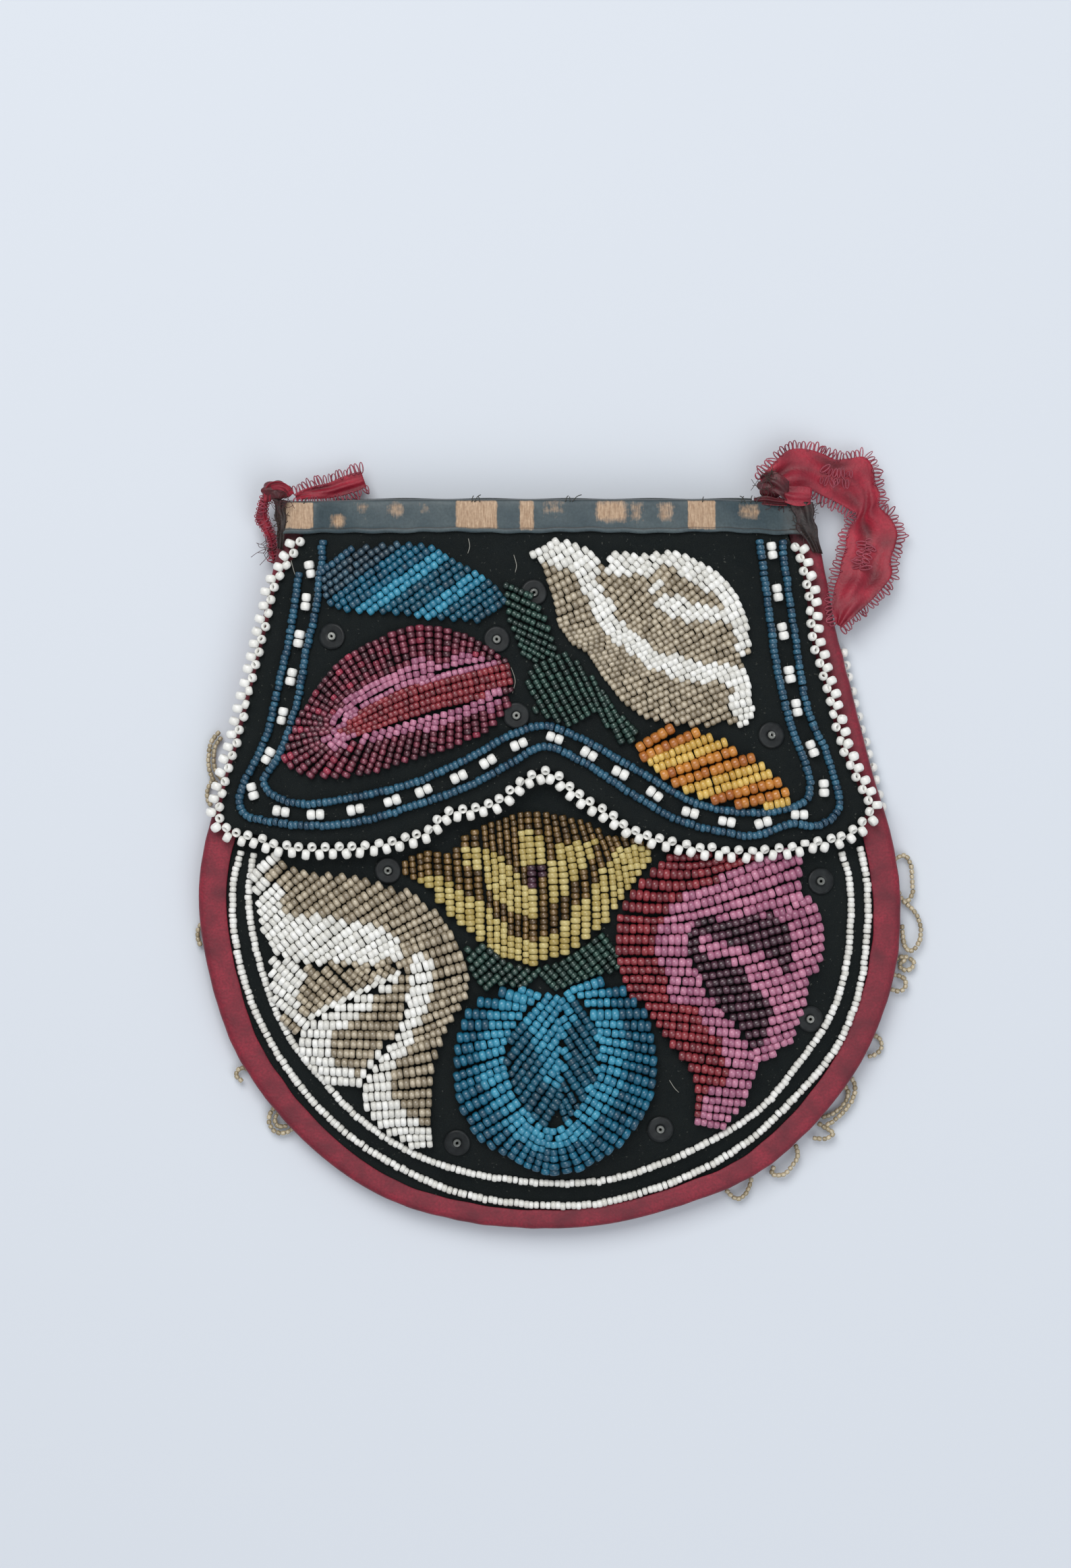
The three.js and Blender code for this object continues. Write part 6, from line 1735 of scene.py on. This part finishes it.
PALE_THREAD = make_thread("Pale thread", linear(150, 150, 142))
DARK_THREAD = make_thread("Dark thread", linear(62, 66, 62))
ENDS_PX = [
    [(695, 800), (697, 812), (694, 822)], [(762, 824), (766, 840), (764, 850)],
    [(758, 990), (764, 1010), (760, 1028)], [(431, 830), (436, 848), (443, 865)],
    [(1252, 1566), (1258, 1574), (1266, 1580)], [(978, 1470), (984, 1482)],
    [(992, 1600), (1000, 1612), (1006, 1618)], [(640, 1620), (634, 1628), (628, 1630)],
    [(1015, 1560), (1010, 1572)]]
lines = []
for path in ENDS_PX:
    flat = curve([from_px(*p) for p in path], 0.4)
    on_flap = inside(flap_outline(0, 0), flat[:1])[0]
    level = ON_FLAP if on_flap else ON_PANEL
    height = mound(flat) + level + 0.12 + 0.25 * np.sin(np.linspace(0, 3, len(flat)))
    lines.append(np.column_stack([flat, height]))
dress(tubes("threads_pale", lines, 0.09, PALE_THREAD), "lining")
dress(tubes("threads_pairs", stitches, 0.07, DARK_THREAD), "velvet")
FRAYED_PX = [
    (700, 0.3, 3), (704, 0.8, 4), (712, -0.4, 2.5), (838, 0.5, 3), (845, -0.2, 2), (848, 1.2, 4),
    (1098, 0.4, 3), (1104, -0.8, 3.4), (1112, 0.2, 4), (1120, 0.9, 3), (450, 0.7, 3), (1040, 0.3, 2)]
MOUTH_PX = 742
fray = []
for x_px, lean, long in FRAYED_PX:
    x, y = from_px(x_px, MOUTH_PX)
    top = mound([(x, MOUTH_Y - 1)])[0] + 3.9
    fray.append(curve([(x, y - 0.6, top), (x + 0.2 * lean * long, y + 0.12 * long, top + 0.3),
                       (x + lean * long * 0.4, y + 0.22 * long, top)], 0.3))
dress(tubes("threads_mouth", fray, 0.1, DARK_THREAD), "dark_ribbon")
print("thread ends", len(lines), "frayed", len(fray))

# %% [markdown]
# Where the ribbons were tied, the silk has rotted to dark fibres. They lie in small tangles over both
# corners.

# %% Tatters at the corners
BROWN_THREAD = make_thread("Brown fibre", linear(58, 40, 34))
WINE_THREAD = make_thread("Wine fibre", linear(74, 24, 32))
TANGLES = {
    "left_knot": (WINE_THREAD, (416, 744), (9, 9), 18, 8.9),
    "left_edge": (BROWN_THREAD, (416, 768), (7, 20), 34, None),
    "right_knot": (BROWN_THREAD, (1138, 714), (13, 13), 26, 9.5),
    "right_strip": (WINE_THREAD, (1150, 745), (24, 4), 20, None),
    "right_edge": (BROWN_THREAD, (1194, 768), (12, 28), 44, None),
    "strand_end": (WINE_THREAD, (392, 810), (7, 12), 22, 2.6)}
ON_RIBBON = 4.0
for name, (finish, middle_px, spread_px, count, high) in TANGLES.items():
    lines = []
    for _ in range(count):
        x, y = from_px(*(rng.normal(middle_px, np.array(spread_px) / 2)))
        turn, bend = rng.uniform(0, 2 * math.pi), rng.normal(0, 0.9)
        long = rng.uniform(0.7, 1.8)
        path = np.array([(x, y), (x + long * math.cos(turn), y + long * math.sin(turn)),
                         (x + long * (math.cos(turn) + 0.8 * math.cos(turn + bend)),
                          y + long * (math.sin(turn) + 0.8 * math.sin(turn + bend)))])
        flat = curve(path, 0.3)
        if high is None:
            beside_bag = mound([(np.clip(x, -52, 50), min(y, MOUTH_Y - 1))])[0]
            height = np.maximum(mound(flat), beside_bag) + ON_RIBBON
        else:
            height = np.full(len(flat), high)
        lines.append(np.column_stack([flat, height + rng.uniform(-0.1, 0.3)]))
    dress(tubes(f"tatters_{name}", lines, 0.055, finish, 4), "knot_ribbon")
print("tangles", len(TANGLES))

# %% [markdown]
# ## Table, light and camera
# The bag lies on a pale floor in soft light, and the camera looks straight down, as the photograph does.

# %% Table
def make_floor():
    finish, _, shader = start_finish("Pale floor", Roughness=0.9, Specular_IOR_Level=0.1)
    shader.inputs["Base Color"].default_value = linear(216, 222, 230)
    return finish


FLOOR_REACH, FLOOR_HEIGHT = 1.5, -0.0005
corners = [(x * FLOOR_REACH, y * FLOOR_REACH, FLOOR_HEIGHT) for x, y in ((-1, -1), (1, -1), (1, 1), (-1, 1))]
floor_mesh = bpy.data.meshes.new("floor")
floor_mesh.from_pydata(corners, [], [(0, 1, 2, 3)])
floor_mesh.materials.append(make_floor())
floor = set_out("floor", floor_mesh)

# %% [markdown]
# A window behind the bag gives soft shadows below the beads, a second lamp opens them, and the room's own
# light does the rest. Together they show a colour about as it is written.

# %% Light
def area_light(name, place, size, watts, colour):
    data = bpy.data.lights.new(name, "AREA")
    data.size = size
    data.energy = watts
    data.color = colour
    lamp = set_out(name, data)
    lamp.location = place
    lamp.rotation_euler = (-Vector(place)).to_track_quat("-Z", "Y").to_euler()


area_light("window", (-0.3, 0.7, 1.1), 0.9, 11.5, (1.0, 0.99, 0.97))
area_light("room", (0.5, -0.5, 1.2), 1.2, 7.0, (0.96, 0.98, 1.0))
world = bpy.data.worlds.new("soft room")
world.use_nodes = True
background = world.node_tree.nodes["Background"]
background.inputs["Color"].default_value = (0.93, 0.95, 1.0, 1)
background.inputs["Strength"].default_value = 0.36
bpy.context.scene.world = world
bpy.context.scene.view_settings.view_transform = "Standard"

# %% [markdown]
# The camera stands over the middle of the picture. Its height follows from the picture's scale and the lens,
# so the bag has its real size in the frame.

# %% Camera
PHOTO_SIZE = (1588, 2324)
LENS, SENSOR = 100, 36
middle = from_px(PHOTO_SIZE[0] / 2, PHOTO_SIZE[1] / 2)
frame_height = PHOTO_SIZE[1] / PX_PER_MM
SURFACE = 8.0
camera_data = bpy.data.cameras.new("camera")
camera_data.lens = LENS
camera_data.sensor_width = SENSOR
camera = set_out("camera", camera_data)
camera.location = metres([(*middle, SURFACE + frame_height * LENS / SENSOR)])[0]
bpy.context.scene.camera = camera
print("camera at", [round(value, 3) for value in camera.location])

# %% [markdown]
# The single beads and the loop of thread were only patterns, so they go.

# %% Clear the workshop
for helper in (BARREL, RING, THREAD_LOOP):
    bpy.data.objects.remove(helper)
